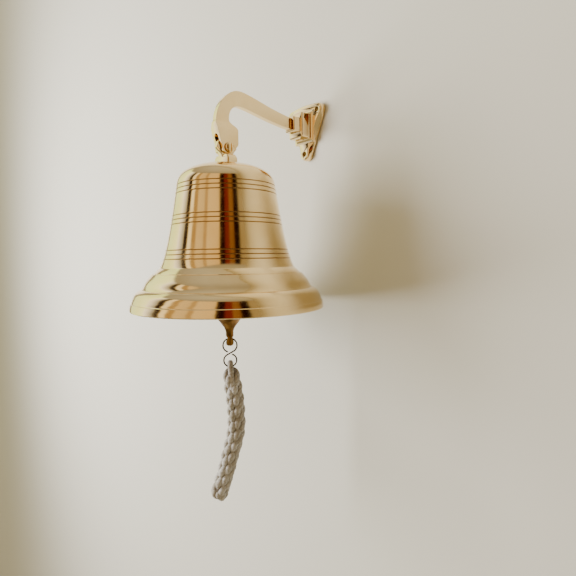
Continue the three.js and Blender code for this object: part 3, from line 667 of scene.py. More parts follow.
def strand_mesh(bm, points, radii, first_out, sides=14, depth=None, flat=1.0):
    """A tube of cord along a line into bm, with domed ends, UVs that run along it in metres, and how
    deep each ring lies between its neighbours, which the cord's material paints as shade."""
    uv = bm.loops.layers.uv.get("strand") or bm.loops.layers.uv.new("strand")
    deep = bm.verts.layers.float.get("depth") or bm.verts.layers.float.new("depth")
    count = len(points)
    radii = radii if isinstance(radii, list) else [radii] * count
    depth = depth or [0.0] * count
    girth = 2 * math.pi * max(radii)
    frames = frames_along(points, first_out)

    def around(frame, size, i, along=0.0):
        p, tangent, out, side = frame
        row = []
        for k in range(sides):
            a = 2 * math.pi * k / sides
            row.append(bm.verts.new(p + tangent * along + (
                out * math.cos(a) * flat + side * math.sin(a)) * size))
            row[-1][deep] = depth[i]
        return row

    def skin(low, high, run, next_run, wide=1):
        for k in range(sides):
            m = (k + 1) % sides
            face = bm.faces.new((low[k], low[m], high[m], high[k]))
            corners = ((run, k), (run, k + wide), (next_run, k + wide), (next_run, k))
            for loop, (s, u) in zip(face.loops, corners):
                loop[uv].uv = (s, u / sides * girth)

    runs = [0.0]
    for a, b in zip(frames, frames[1:]):
        runs.append(runs[-1] + (b[0] - a[0]).length)
    rows = [around(frame, radii[i], i) for i, frame in enumerate(frames)]
    for i in range(count - 1):
        skin(rows[i], rows[i + 1], runs[i], runs[i + 1])
    for i, sign in ((0, -1), (-1, 1)):
        size, last = radii[i], rows[i]
        for rise, shrink in ((0.38, 0.92), (0.70, 0.68), (0.92, 0.36)):
            new = around(frames[i], size * shrink, i, sign * rise * size)
            skin(last, new, runs[i], runs[i], 0)
            last = new
        pole = bm.verts.new(frames[i][0] + frames[i][1] * (sign * size))
        pole[deep] = depth[i]
        for k in range(sides):
            face = bm.faces.new((last[k], last[(k + 1) % sides], pole))
            for loop in face.loops:
                loop[uv].uv = (runs[i], 0)


def bight_line(centre_frame, angle, radius, length, lean, tuck):
    """One bight on the outside of the braid: a short bow, proud in the middle and tucked in at both ends."""
    p, tangent, out, side = centre_frame
    radial = out * math.cos(angle) + side * math.sin(angle)
    around = tangent.cross(radial)
    points = []
    steps = 10
    for i in range(steps + 1):
        t = i / steps * 2 - 1
        bow = radius - tuck * (abs(t) ** 2.2)
        slide = lean * t
        direction = radial * math.cos(slide / radius) + around * math.sin(slide / radius)
        points.append(p + tangent * (t * length / 2) + direction * bow)
    return points, radial


class SHIPBELL_OT_lanyard(bpy.types.Operator):
    """Braided cotton lanyard with its eye over the S-hook"""
    bl_idname = "ship_bell.lanyard"
    bl_label = "Lanyard"

    def execute(self, context):
        s = sizes()
        route = sweep([on_hook(a, b) for a, b in BRAID_ROUTE], 10)
        frames = frames_along(route, HOOK_FACE)
        runs = [0.0]
        for a, b in zip(route, route[1:]):
            runs.append(runs[-1] + (b - a).length)

        def frame_at(run):
            i = max(k for k, r in enumerate(runs) if r <= run or k == 0)
            i = min(i, len(frames) - 2)
            t = (run - runs[i]) / (runs[i + 1] - runs[i])
            a, b = frames[i], frames[i + 1]
            return tuple(u.lerp(v, t) for u, v in zip(a, b))

        cord_r = s.cord_diameter / 2
        bight_r = 1.12 * cord_r  # a strand spreads where it is pressed flat round the braid
        flat = 0.86
        middle = s.braid_diameter / 2 - flat * bight_r
        bm = bmesh.new()
        # the imported core, in full painted shade, that shows as dark gaps
        core = route[2:-3]
        strand_mesh(bm, core, middle - 0.15 * cord_r, HOOK_FACE, sides=20, depth=[1.0] * len(core))
        columns = s.braid_columns
        total = runs[-1]
        for c in range(columns):
            angle = 2 * math.pi * c / columns - math.radians(10)
            start = (0.12 if c % 2 == 0 else 0.5) * s.braid_pitch
            k = 1 if c == 0 else 0  # the near leg of the eye lies where this bight would be
            while start + k * s.braid_pitch < total - 0.42 * s.braid_pitch:
                run = start + k * s.braid_pitch
                jitter = noise.noise_vector(Vector((c * 3.1 + 7, k * 1.7, 0.5)))
                place = frame_at(min(run + jitter.x * 0.8 * MM, total))
                ends = min(1.0, 0.86 + 0.05 * min(run, total - run) / MM / 3)
                line, radial = bight_line(
                    place, angle + jitter.y * 0.12, (middle + jitter.z * 0.4 * MM) * ends,
                    1.13 * s.braid_pitch, (1.3 + 0.5 * jitter.x) * MM, 0.95 * cord_r)
                count = len(line) - 1
                radii = [bight_r * (1.0 - 0.34 * abs(i / count * 2 - 1) ** 2.2) for i in range(count + 1)]
                # painted shade deepens towards each bight's tucked-in ends
                deep = [0.8 * abs(i / count * 2 - 1) ** 4 for i in range(count + 1)]
                strand_mesh(bm, line, radii, radial, sides=14, depth=deep, flat=flat)
                k += 1
        # the end: strands turned over the core and crossed
        p, tangent, out, side = frame_at(total - 2.5 * MM)
        for j in range(4):
            turn = math.pi * j / 4 + 0.2
            across = out * math.cos(turn) + side * math.sin(turn)
            beside = tangent.cross(across)
            bow = []
            for i in range(13):
                a = math.pi * i / 12
                reach = middle * 0.92
                rise = (3.4 + 0.7 * j) * MM * math.sin(a) ** 0.8
                bow.append(p + across * (reach * math.cos(a)) + tangent * rise
                           + beside * ((j - 1.5) * 1.3 * MM * math.sin(a)))
            strand_mesh(bm, bow, [bight_r * 0.92] * 13, tangent, sides=14)
        # the eye: over the hook, its near leg in front
        top = -HOOK_FOOT_R + HOOK_WIRE_R + cord_r
        eye = [on_hook(a * MM, b * MM, c * MM) for a, b, c in (
            (1.6, -30, 4.4), (1.4, -24, 5.6), (0.9, -19, 5.4), (0.5, -14.5, 4.3), (0.3, -10, 3.4),
            (0.1, (top / MM) - 1.1, 2.5), (0, (top / MM) + 0.1, 0.2), (-0.3, (top / MM) - 1.1, -2.3),
            (-1.6, -10, -3.4), (-3.0, -14, -4.0), (-3.4, -20, -4.0))]
        strand_mesh(bm, sweep(eye, 9), 0.5 * s.cord_diameter, HOOK_FACE, sides=16)
        lanyard = object_from("braided_lanyard", bm)
        settle(lanyard, 60)
        fit_out(lanyard, "cotton_cord", "lanyard", "lanyard_eye", "lanyard_braid")
        start = on_hook(0.0, top, 0.0)
        path = [start] + [start.lerp(route[0], t / 4) for t in range(1, 4)] + route[::5] + [route[-1]]
        path = list(dict.fromkeys(tuple(round(v, 6) for v in p) for p in path))
        return {"FINISHED"}


# ---------------------------------------------------------------- bell shell
SHOULDER_R, SHOULDER_Z = 45.2, 113.0
CROWN_R, CROWN_DROP = 24.0, 1.5
FOOT_R, FOOT_Z = 62.0, 37.7
CROWN_WALL = 4.0
RIM_LAND = 6.0
GROOVE_GROUPS = (107.8, 80.1, 49.4)
# Share of the way from the foot to the rim, and height, in runs that meet at crisp edges
BANDS = [
    [(1, 0.8), (0.998, 1.9), (0.986, 4.2), (0.955, 7)],
    [(0.955, 7), (0.94, 7.25), (0.93, 7.7)],
    [(0.93, 7.7), (0.9, 10.4), (0.81, 15.4), (0.652, 18.6)],
    [(0.652, 18.6), (0.61, 18.8), (0.6, 19.2)],
    [(0.6, 19.2), (0.58, 19.8), (0.535, 21.6), (0.44, 26.4), (0.26, 32.4)],
    [(0.26, 32.4), (0.195, 32.6), (0.185, 33.1)],
    [(0.185, 33.1), (0.107, 35.2), (0.0, 37.7)],
]
BORE_R = 2.5


def waist(inset, steps):
    foot, shoulder_r = FOOT_R - inset, SHOULDER_R - inset
    return bezier(
        (foot, FOOT_Z), (lerp(foot, shoulder_r, 0.38), lerp(FOOT_Z, SHOULDER_Z, 0.163)),
        (lerp(foot, shoulder_r, 0.685), lerp(FOOT_Z, SHOULDER_Z, 0.562)), (shoulder_r, SHOULDER_Z), steps)


def shoulder(inset, drop, steps):
    crown_z = BELL_HEIGHT / MM - CROWN_DROP
    rise = crown_z - SHOULDER_Z
    return bezier(
        (SHOULDER_R - inset, SHOULDER_Z), (SHOULDER_R - inset - 1, SHOULDER_Z + 0.49 * rise),
        (lerp(SHOULDER_R - inset, CROWN_R, 0.34), crown_z - drop - 0.2 * rise), (CROWN_R, crown_z - drop), steps)


def bell_profile():
    """(radius, height, groove, raw) round the section of the shell, in millimetres, from the crown's
    bore down the inside, across the mouth and up the outside."""
    s = sizes()
    height = BELL_HEIGHT / MM
    wall = s.wall / MM
    rim = RIM_R / MM
    mouth = rim - RIM_LAND
    inside = bezier((mouth, 0), (mouth - 3, 10), (FOOT_R - wall + 4, 24), (FOOT_R - wall, FOOT_Z), 14)
    inside += waist(wall, 22)[1:] + shoulder(wall, CROWN_WALL, 12)[1:]
    inside += [(9.0, height - CROWN_WALL), (BORE_R, height - CROWN_WALL)]
    outside = [(rim - 0.8, 0.0), (rim - 0.3, 0.15)]
    for run in BANDS:
        points = [Vector((lerp(FOOT_R, rim, share), z)) for share, z in run]
        outside += [(p.x, p.y) for p in (points[:1] if len(points) < 3 else sweep(points, 5)[:-1])]
    outside += waist(0, 90) + shoulder(0, 0, 26)[1:]
    outside += [(18.0, height - 0.5), (13.5, height), (BORE_R, height)]
    pitch, width, depth = s.groove_pitch / MM, s.groove_width / MM, s.groove_depth / MM
    lines = [g + k * pitch for g in GROOVE_GROUPS for k in (-1, 0, 1)]

    def radius_at(z):
        k = next(i for i, (_, h) in enumerate(outside) if h >= z and i > 8)
        (r0, z0), (r1, z1) = outside[k - 1], outside[k]
        return lerp(r0, r1, (z - z0) / (z1 - z0))

    shaped = [(r, z, 0.0, 0.0) for r, z in outside
              if z > height - 2 or all(abs(z - g) > 0.5 * width + 0.25 for g in lines)]
    for g in lines:
        for t, cut, dirt in ((-0.62, 0.0, 0.0), (-0.5, 0.03, 0.1), (-0.36, 0.45, 0.5), (-0.2, 0.85, 0.8),
                             (0, 1, 0.8), (0.2, 0.85, 0.8), (0.36, 0.45, 0.5), (0.5, 0.03, 0.1), (0.62, 0, 0)):
            z = g + t * width
            shaped.append((radius_at(z) - cut * depth, z, dirt, 0.0))
    crown = [p for p in shaped if p[1] > height - 2]
    shaped = sorted((p for p in shaped if p[1] <= height - 2), key=lambda p: p[1]) + crown
    section = [(r, z, 0.0, 1.0) for r, z in reversed(inside)]
    section += [(r, z, 0.0, 0.0) for r, z in ((mouth + 1.2, -0.0), (mouth + 3.4, 0.0))]
    return section + shaped


def revolve_tree():
    """Geometry Nodes: turns the profile's points (X radius, Z height) about the vertical axis."""
    tree = bpy.data.node_groups.new("turn_on_the_lathe", "GeometryNodeTree")
    face = tree.interface
    face.new_socket("Profile", in_out="INPUT", socket_type="NodeSocketGeometry")
    face.new_socket("Steps", in_out="INPUT", socket_type="NodeSocketInt")
    face.new_socket("Points", in_out="INPUT", socket_type="NodeSocketInt")
    face.new_socket("Centre", in_out="INPUT", socket_type="NodeSocketVector")
    face.new_socket("Finish", in_out="INPUT", socket_type="NodeSocketMaterial")
    face.new_socket("Turned", in_out="OUTPUT", socket_type="NodeSocketGeometry")
    given = add(tree, "NodeGroupInput", {}).outputs
    across = add(tree, "ShaderNodeMath", {0: given["Steps"], 1: 1.0}, operation="ADD")
    grid = add(tree, "GeometryNodeMeshGrid", {"Vertices X": given["Points"], "Vertices Y": across.outputs[0]})
    index = add(tree, "GeometryNodeInputIndex", {}).outputs[0]
    row = add(tree, "ShaderNodeMath", {0: index, 1: across.outputs[0]}, operation="DIVIDE")
    row = add(tree, "ShaderNodeMath", {0: row.outputs[0]}, operation="FLOOR")
    column = add(tree, "ShaderNodeMath", {0: index, 1: across.outputs[0]}, operation="MODULO")
    turn = add(tree, "ShaderNodeMath", {0: column.outputs[0], 1: given["Steps"]}, operation="DIVIDE")
    angle = add(tree, "ShaderNodeMath", {0: turn.outputs[0], 1: 2 * math.pi}, operation="MULTIPLY")
    place = add(tree, "GeometryNodeInputPosition", {}).outputs[0]
    spot = add(tree, "GeometryNodeSampleIndex", {
        "Geometry": given["Profile"], "Value": place, "Index": row.outputs[0]}, data_type="FLOAT_VECTOR")
    turned_spot = add(tree, "ShaderNodeVectorRotate", {
        "Vector": spot.outputs[0], "Angle": angle.outputs[0], "Axis": (0, 0, 1)}, rotation_type="AXIS_ANGLE")
    moved = add(tree, "ShaderNodeVectorMath", {0: turned_spot.outputs[0], 1: given["Centre"]}, operation="ADD")
    last = add(tree, "GeometryNodeSetPosition", {
        "Geometry": grid.outputs["Mesh"], "Position": moved.outputs[0]}).outputs[0]
    for name in ("groove", "raw"):
        value = add(tree, "GeometryNodeInputNamedAttribute", {"Name": name}, data_type="FLOAT").outputs[0]
        carried = add(tree, "GeometryNodeSampleIndex", {
            "Geometry": given["Profile"], "Value": value, "Index": row.outputs[0]}, data_type="FLOAT")
        last = add(tree, "GeometryNodeStoreNamedAttribute", {
            "Geometry": last, "Name": name, "Value": carried.outputs[0]},
            data_type="FLOAT", domain="POINT").outputs[0]
    last = add(tree, "GeometryNodeMergeByDistance", {"Geometry": last, "Distance": 1e-6}).outputs[0]
    last = add(tree, "GeometryNodeRealizeInstances", {"Geometry": last}).outputs[0]
    last = add(tree, "GeometryNodeSetMaterial", {"Geometry": last, "Material": given["Finish"]}).outputs[0]
    out = add(tree, "NodeGroupOutput", {})
    tree.links.new(last, out.inputs["Turned"])
    return tree


def set_inputs(modifier, values):
    """Gives a Geometry Nodes modifier its inputs, each by its socket's identifier."""
    for item in modifier.node_group.interface.items_tree:
        if item.in_out == "INPUT" and item.name in values:
            modifier[item.identifier] = values[item.name]


class SHIPBELL_OT_shell(bpy.types.Operator):
    """The bell itself, turned about the vertical axis by Geometry Nodes"""
    bl_idname = "ship_bell.shell"
    bl_label = "Bell"

    def execute(self, context):
        profile = bell_profile()
        profile.append(profile[0])  # closes the section at the bore
        mesh = bpy.data.meshes.new("bell_profile")
        mesh.from_pydata([(r * MM, 0, z * MM) for r, z, _, _ in profile],
                         [(i, i + 1) for i in range(len(profile) - 1)], [])
        for name, k in (("groove", 2), ("raw", 3)):
            attribute = mesh.attributes.new(name, "FLOAT", "POINT")
            attribute.data.foreach_set("value", [p[k] for p in profile])
        shell = bpy.data.objects.new("turned_bell", mesh)
        bpy.context.scene.collection.objects.link(shell)
        modifier = shell.modifiers.new("lathe", "NODES")
        modifier.node_group = revolve_tree()
        set_inputs(modifier, {
            "Steps": sizes().turned_steps, "Points": len(profile), "Centre": AXIS,
            "Finish": material_for("polished_brass")})
        settle(shell, 28)
        bm = bmesh.new()
        bm.from_mesh(shell.data)
        bmesh.ops.recalc_face_normals(bm, faces=bm.faces)
        bm.to_mesh(shell.data)
        bm.free()
        fit_out(shell, "polished_brass", "bell", "bell_shell")
        return {"FINISHED"}


# ---------------------------------------------------------------- wall plate
HOLE_SPREAD, HOLE_DROP = 37.4, 42.8
SCREW_HOLE_R = 2.75
PLATE_CORNER_R, PLATE_EDGE, PLATE_THICK, PLATE_BEVEL = 6.8, 2.6, 6.4, 1.2
PLATE_WAIST, PLATE_ARCH = 4.5, 1.5
FLARE_DEPTH, FLARE_SPREAD = 3.8, 4.0
LARGE_TIER, SMALL_TIER = (20.0, 25.0, 9.0), (14.0, 14.6, 8.5)
TIER_ROUND, TIER_CHAMFER = 1.2, 0.7
TENON = (9.0, 15.7)
ARM_THICK = 5.5
FIT = 0.3


def plate_section(y, radius, waist_in):
    half = HOLE_SPREAD / 2
    holes = [Vector((half, 0)), Vector((-half, 0)), Vector((0, -HOLE_DROP))]
    lean = math.atan2(half, HOLE_DROP)
    starts = [-lean, math.pi / 2, math.pi + lean]
    ends = [math.pi / 2, math.pi + lean, 2 * math.pi - lean]
    points = []
    for k, centre in enumerate(holes):
        for i in range(19):
            a = lerp(starts[k], ends[k], i / 18)
            points.append(centre + Vector((math.cos(a), math.sin(a))) * radius)
        normal = Vector((math.cos(ends[k]), math.sin(ends[k])))
        pull = PLATE_ARCH if k == 0 else -waist_in
        for i in range(1, 24):
            t = i / 24
            bow = pull * 4 * t * (1 - t)
            points.append(centre.lerp(holes[(k + 1) % 3], t) + normal * (radius + bow))
    return [Vector((p.x, y, p.y)) * MM for p in points]


def tier_section(width, height, y, radius=TIER_ROUND):
    points = []
    for k, (sx, sz) in enumerate(((1, 1), (-1, 1), (-1, -1), (1, -1))):
        for i in range(7):
            a = (k + i / 6) * math.pi / 2
            points.append(Vector((sx * (width / 2 - radius) + radius * math.cos(a), y,
                                  sz * (height / 2 - radius) + radius * math.sin(a))) * MM + Z * BOSS_Z)
    return points


def tier_block(name, tier, front):
    width, height, depth = tier
    return lofted(name, [
        tier_section(width, height, front + depth + 1), tier_section(width, height, front + TIER_CHAMFER),
        tier_section(width - 2 * TIER_CHAMFER, height - 2 * TIER_CHAMFER, front)])


def rod(name, radius, start, end, steps=48):
    length = (Vector(end) - Vector(start)).length / MM
    return turned(name, [(0, 0), (radius, 0), (radius, length), (0, length)], start,
                  (Vector(end) - Vector(start)).normalized(), steps)


class SHIPBELL_OT_wall_plate(bpy.types.Operator):
    """Cast wall plate with its stepped boss, and the screw that holds the arm"""
    bl_idname = "ship_bell.wall_plate"
    bl_label = "Wall plate"

    def execute(self, context):
        rise = PLATE_THICK - PLATE_EDGE
        sections = [plate_section(-0.0, PLATE_CORNER_R - 0.25, 0), plate_section(-0.25, PLATE_CORNER_R, 0),
                    plate_section(-PLATE_EDGE, PLATE_CORNER_R, 0)]
        for t in (0.12, 0.3, 0.5, 0.7, 0.86, 0.95, 1.0):
            shrink = PLATE_BEVEL * (1 - math.sqrt(max(0, 1 - t * t)))
            sections.append(plate_section(-PLATE_EDGE - rise * t, PLATE_CORNER_R - shrink, PLATE_WAIST * t))
        plate = lofted("cast_wall_plate", sections)
        spread = 2 * FLARE_SPREAD
        flare = [tier_section(LARGE_TIER[0] + spread, LARGE_TIER[1] + spread, -PLATE_THICK / 2)]
        for i in range(13):
            a = i / 12 * math.pi / 2
            spread = 2 * FLARE_SPREAD * (1 - math.sin(a))
            flare.append(tier_section(LARGE_TIER[0] + spread, LARGE_TIER[1] + spread,
                                      -PLATE_THICK - FLARE_DEPTH * (1 - math.cos(a))))
        boolean(plate, lofted("flare", flare), "UNION")
        front = BOSS_FRONT / MM
        boolean(plate, tier_block("large", LARGE_TIER, -PLATE_THICK - FLARE_DEPTH - LARGE_TIER[2]), "UNION")
        boolean(plate, tier_block("small", SMALL_TIER, front), "UNION")
        socket = TENON[1] + FIT
        half_wide, half_high = ARM_THICK / 2 + FIT, (TENON[0] / 2 + FIT) * MM
        boolean(plate, block("socket", (-half_wide * MM, (front - 1) * MM, BOSS_Z - half_high),
                             (half_wide * MM, (front + socket) * MM, BOSS_Z + half_high)), "DIFFERENCE")
        for x, z in ((HOLE_SPREAD / 2, 0), (-HOLE_SPREAD / 2, 0), (0, -HOLE_DROP)):
            hole = rod("hole", SCREW_HOLE_R, Vector((x, 2, z)) * MM, Vector((x, -12, z)) * MM)
            boolean(plate, hole, "DIFFERENCE")
        sunk = turned("countersink", [(0, -1), (4.3, -1), (4.3, 0.4), (2.0, 2.7), (2.0, 22), (0, 22)],
                      Vector((0, 0, BOSS_Z)), (0, -1, 0), 48)
        boolean(plate, sunk, "DIFFERENCE")
        bevelled(plate, 0.35 * MM, 2, 38)
        fit_out(plate, "polished_brass", "bracket", "wall_plate")
        screw = turned("arm_countersunk_screw", [
            (0, 0.4), (3.6, 0.4), (4.0, 0.5), (1.7, 2.7), (1.7, 23.4), (0.9, 24.4), (0, 24.4)],
            Vector((0, 0, BOSS_Z)), (0, -1, 0), 40)
        slot = block("slot", (-6 * MM, -1.4 * MM, BOSS_Z - 0.6 * MM), (6 * MM, 1 * MM, BOSS_Z + 0.6 * MM))
        boolean(screw, slot, "DIFFERENCE")
        bevelled(screw, 0.1 * MM, 2, 40)
        fit_out(screw, "steel_screw", "bracket", "arm_screw")
        return {"FINISHED"}


# ---------------------------------------------------------------- arm with its fork
REACH = -AXIS.y / MM
PIN_Z = PIN.z / MM
ARM_RISE, ARM_CREST_Y, ARM_CREST_DEPTH = 54.5, 15.9, 14.0
ARM_BOSS_DEPTH = 11.5
FORK_WIDTH, SLOT_WIDTH, SLOT_TOP = 11.5, 6.0, 12.0
FORK_FLARE = (14.1, 23.5)
PIN_R = 2.4


def quad(a, b, c, steps=6):
    return [tuple((1 - t) ** 2 * a[k] + 2 * (1 - t) * t * b[k] + t * t * c[k] for k in (0, 1))
            for t in (i / steps for i in range(steps + 1))]


def arm_outline():
    """The arm from the side, in millimetres: (back from the bell's axis, up from the pin)."""
    boss = REACH + BOSS_FRONT / MM - FIT
    boss_z = BOSS_Z / MM - PIN_Z
    top, foot = boss_z + ARM_BOSS_DEPTH / 2, boss_z - ARM_BOSS_DEPTH / 2
    crest_top, crest_foot = ARM_RISE, ARM_RISE - ARM_CREST_DEPTH
    cy = ARM_CREST_Y
    span = boss - cy
    runs = [
        bezier((-11.4, 23.6), (-10.7, crest_top - 16.5), (cy - 13.9, crest_top), (cy, crest_top), 26),
        bezier((cy, crest_top), (cy + 0.19 * span, crest_top), (boss - 0.46 * span, top + 3), (boss, top), 30),
        [(boss, boss_z + TENON[0] / 2), (boss + TENON[1], boss_z + TENON[0] / 2),
         (boss + TENON[1], boss_z - TENON[0] / 2), (boss, boss_z - TENON[0] / 2)],
        bezier((boss, foot), (boss - 0.49 * span, foot + 2.1), (cy + 0.15 * span, crest_foot), (cy, crest_foot), 30),
        bezier((cy, crest_foot), (cy - 8.6, crest_foot), (2.0, crest_foot - 6.5), (2.8, 25), 20),
        quad((2.8, 25), (5, 22.6), (8.7, 20.5)),
        quad((8.7, 20.5), (10.6, 19.6), (10.8, 17)),
        [(10.6, 4)],
        quad((10.6, 4), (10.4, 2.8), (9.4, 2)),
        quad((3.8, -3.6), (2.6, -4.8), (1, -4.8)),
        quad((-3.4, -4.8), (-6.7, -4.6), (-6.9, -1)),
        bezier((-6.9, -1), (-7.2, 3), (-11, 10), (-12.3, 21.4), 16),
        quad((-12.3, 21.4), (-12.2, 22.6), (-11.4, 23.6)),
    ]
    points = []
    for run in runs:
        for p in run:
            if not points or (p[0] - points[-1][0]) ** 2 + (p[1] - points[-1][1]) ** 2 > 1e-4:
                points.append(p)
    return points[:-1]


class SHIPBELL_OT_arm(bpy.types.Operator):
    """Gooseneck arm, flattened at its end into a fork"""
    bl_idname = "ship_bell.arm"
    bl_label = "Arm"

    def execute(self, context):
        arm = slab("gooseneck_arm", arm_outline(), FORK_WIDTH / 2, PIN, Y, Z, X)
        low, high = FORK_FLARE
        half, wide = ARM_THICK / 2, FORK_WIDTH / 2 + 1
        front = [(half, ARM_RISE + 10), (half, high), (wide, low), (wide, -20),
                 (-wide, -20), (-wide, low), (-half, high), (-half, ARM_RISE + 10)]
        boolean(arm, slab("seen_from_the_front", front, 120, PIN, X, Z, Y), "INTERSECT")
        r = SLOT_WIDTH / 2
        slot = [(r, -20)] + arc((0, SLOT_TOP - r), r, 0, 180, 20) + [(-r, -20)]
        bevelled(arm, 1.9 * MM, 6, 50)
        boolean(arm, slab("slot", slot, 40, PIN, X, Z, Y), "DIFFERENCE")
        boolean(arm, rod("pin_hole", PIN_R + FIT, PIN - X * 12 * MM, PIN + X * 12 * MM), "DIFFERENCE")
        end = BOSS_FRONT + TENON[1] * MM
        bore = rod("screw_bore", 2.0, Vector((0, end - 14 * MM, BOSS_Z)), Vector((0, end + 2 * MM, BOSS_Z)))
        boolean(arm, bore, "DIFFERENCE")
        fit_out(arm, "polished_brass", "bracket", "bracket_arm")
        return {"FINISHED"}


# ---------------------------------------------------------------- pivot bolt, washer and nut
def hexagon(name, across, low, high, bore, centre, direction):
    """A nut in millimetres, with both faces chamfered and a bore."""
    flat = turned(name, [(0, low), (across / math.sqrt(3), low), (across / math.sqrt(3), high), (0, high)],
                  centre, direction, 6)
    r = across / math.sqrt(3)
    c = 0.12 * across
    dome = turned("chamfer", [(0, low), (across / 2 * 0.97, low), (r * 1.01, low + c), (r * 1.01, high - c),
                              (across / 2 * 0.97, high), (0, high)], centre, direction, 64)
    boolean(flat, dome, "INTERSECT")
    boolean(flat, turned("bore", [(0, low - 1), (bore, low - 1), (bore, high + 1), (0, high + 1)],
                         centre, direction, 40), "DIFFERENCE")
    return flat


class SHIPBELL_OT_pivot(bpy.types.Operator):
    """Slotted pivot bolt through the fork, with its washer and nut"""
    bl_idname = "ship_bell.pivot"
    bl_label = "Pivot bolt"

    def execute(self, context):
        seat = FORK_WIDTH / 2 + FIT
        washer_h, nut_h, proud = 1.0, 4.0, 1.6
        end = -(seat + washer_h + nut_h + 2 * FIT + proud)
        profile = [(0, end), (PIN_R - 0.6, end), (PIN_R, end + 0.6)]
        z = end + 0.6
        while z < -seat - 0.6:  # the thread that shows past the nut
            profile += [(PIN_R - 0.32, z + 0.2), (PIN_R, z + 0.4)]
            z += 0.4
        profile += [(PIN_R, seat), (4.45, seat), (4.75, seat + 0.3), (4.75, seat + 1.0)]
        profile += arc_dome(4.75, seat + 1.0, 2.4, 9)
        bolt = turned("pivot_bolt_slotted", profile, PIN, X, 56)
        low, high = Vector((seat + 2.2, -0.65, -6)), Vector((seat + 5, 0.65, 6))
        boolean(bolt, block("slot", PIN + low * MM, PIN + high * MM), "DIFFERENCE")
        bevelled(bolt, 0.12 * MM, 2, 42)
        fit_out(bolt, "polished_brass", "bracket", "pivot_bolt")
        hole = PIN_R + FIT
        washer = turned("pivot_washer_flat", [
            (hole, -seat), (4.8, -seat), (5.0, -seat - 0.2), (5.0, -seat - washer_h + 0.25),
            (4.75, -seat - washer_h), (hole, -seat - washer_h), (hole, -seat)], PIN, X, 56)
        settle(washer)
        fit_out(washer, "polished_brass", "bracket", "pivot_washer")
        far = -(FORK_WIDTH / 2 + 2 * FIT + washer_h)
        nut = hexagon("pivot_nut_hex", 8.0, far - nut_h, far, hole, PIN, X)
        bevelled(nut, 0.15 * MM, 2, 40)
        fit_out(nut, "polished_brass", "bracket", "pivot_nut")
        return {"FINISHED"}


def arc_dome(radius, base, rise, steps):
    """(radius, height) pairs of a shallow dome that ends on the axis."""
    return [(radius * math.cos(a), base + rise * math.sin(a))
            for a in (math.pi / 2 * i / steps for i in range(1, steps))] + [(0, base + rise)]


# ---------------------------------------------------------------- crown lug and what hangs from it
LUG_RISE = 15.2
LUG = (23.0, 11.0, 2.6, 8.7)  # across, deep, straight edge, top of the shoulders
LUG_TOP_WIDTH = 17.6
TONGUE_THICK, TONGUE_R = 5.4, 10.5


def rounded(width, depth, z, radius=1.5):
    points = []
    for k, (sx, sy) in enumerate(((1, 1), (-1, 1), (-1, -1), (1, -1))):
        for i in range(6):
            a = (k + i / 5) * math.pi / 2
            points.append(CROWN + Vector((sx * (width / 2 - radius) + radius * math.cos(a),
                                          sy * (depth / 2 - radius) + radius * math.sin(a), z)) * MM)
    return points


CROWN = AXIS + Z * BELL_HEIGHT


class SHIPBELL_OT_lug(bpy.types.Operator):
    """Lug on the crown, whose tongue hangs on the pivot bolt"""
    bl_idname = "ship_bell.lug"
    bl_label = "Crown lug"

    def execute(self, context):
        width, depth, edge, top = LUG
        lug = lofted("crown_lug_casting", [
            rounded(width - 0.5, depth - 0.5, FIT), rounded(width, depth, FIT + 0.25)] + [
            rounded(lerp(width, LUG_TOP_WIDTH, t ** 2.6), depth - 1.2 * t ** 2, lerp(FIT + edge, top, t))
            for t in (i / 10 for i in range(11))])
        bevelled(lug, 0.6 * MM, 3, 40)
        foot = depth / 2 - 0.8
        outline = [(-foot, 1.0), (foot, 1.0)]
        outline += quad((foot, 1.0), (foot, LUG_RISE - 5), (TONGUE_R, LUG_RISE), 10)[1:]
        outline += arc((0, LUG_RISE), TONGUE_R, 0, 180, 40)[1:]
        outline += quad((-TONGUE_R, LUG_RISE), (-foot, LUG_RISE - 5), (-foot, 1.0), 10)[1:-1]
        tongue = slab("tongue", outline, TONGUE_THICK / 2, CROWN, Y, Z, X)
        bevelled(tongue, 0.5 * MM, 3, 40)
        boolean(lug, tongue, "UNION")
        pin = CROWN + Z * LUG_RISE * MM
        boolean(lug, rod("pin_hole", PIN_R + FIT, pin - X * 15 * MM, pin + X * 15 * MM), "DIFFERENCE")
        boolean(lug, rod("stud_hole", 2.5, CROWN - Z * MM, CROWN + Z * 3.5 * MM), "DIFFERENCE")
        fit_out(lug, "polished_brass", "bell", "crown_lug")
        return {"FINISHED"}


# Rings, in millimetres: radius of the middle line, and of the wire
EYE_R, EYE_WIRE_R = 6.0, 1.8
LINK_R, LINK_WIRE_R = 7.5, 1.5
EYE_DROP = 19.0  # from the crown seat down to the middle of the bolt's eye
TAIL_HOLE_R = 2.35


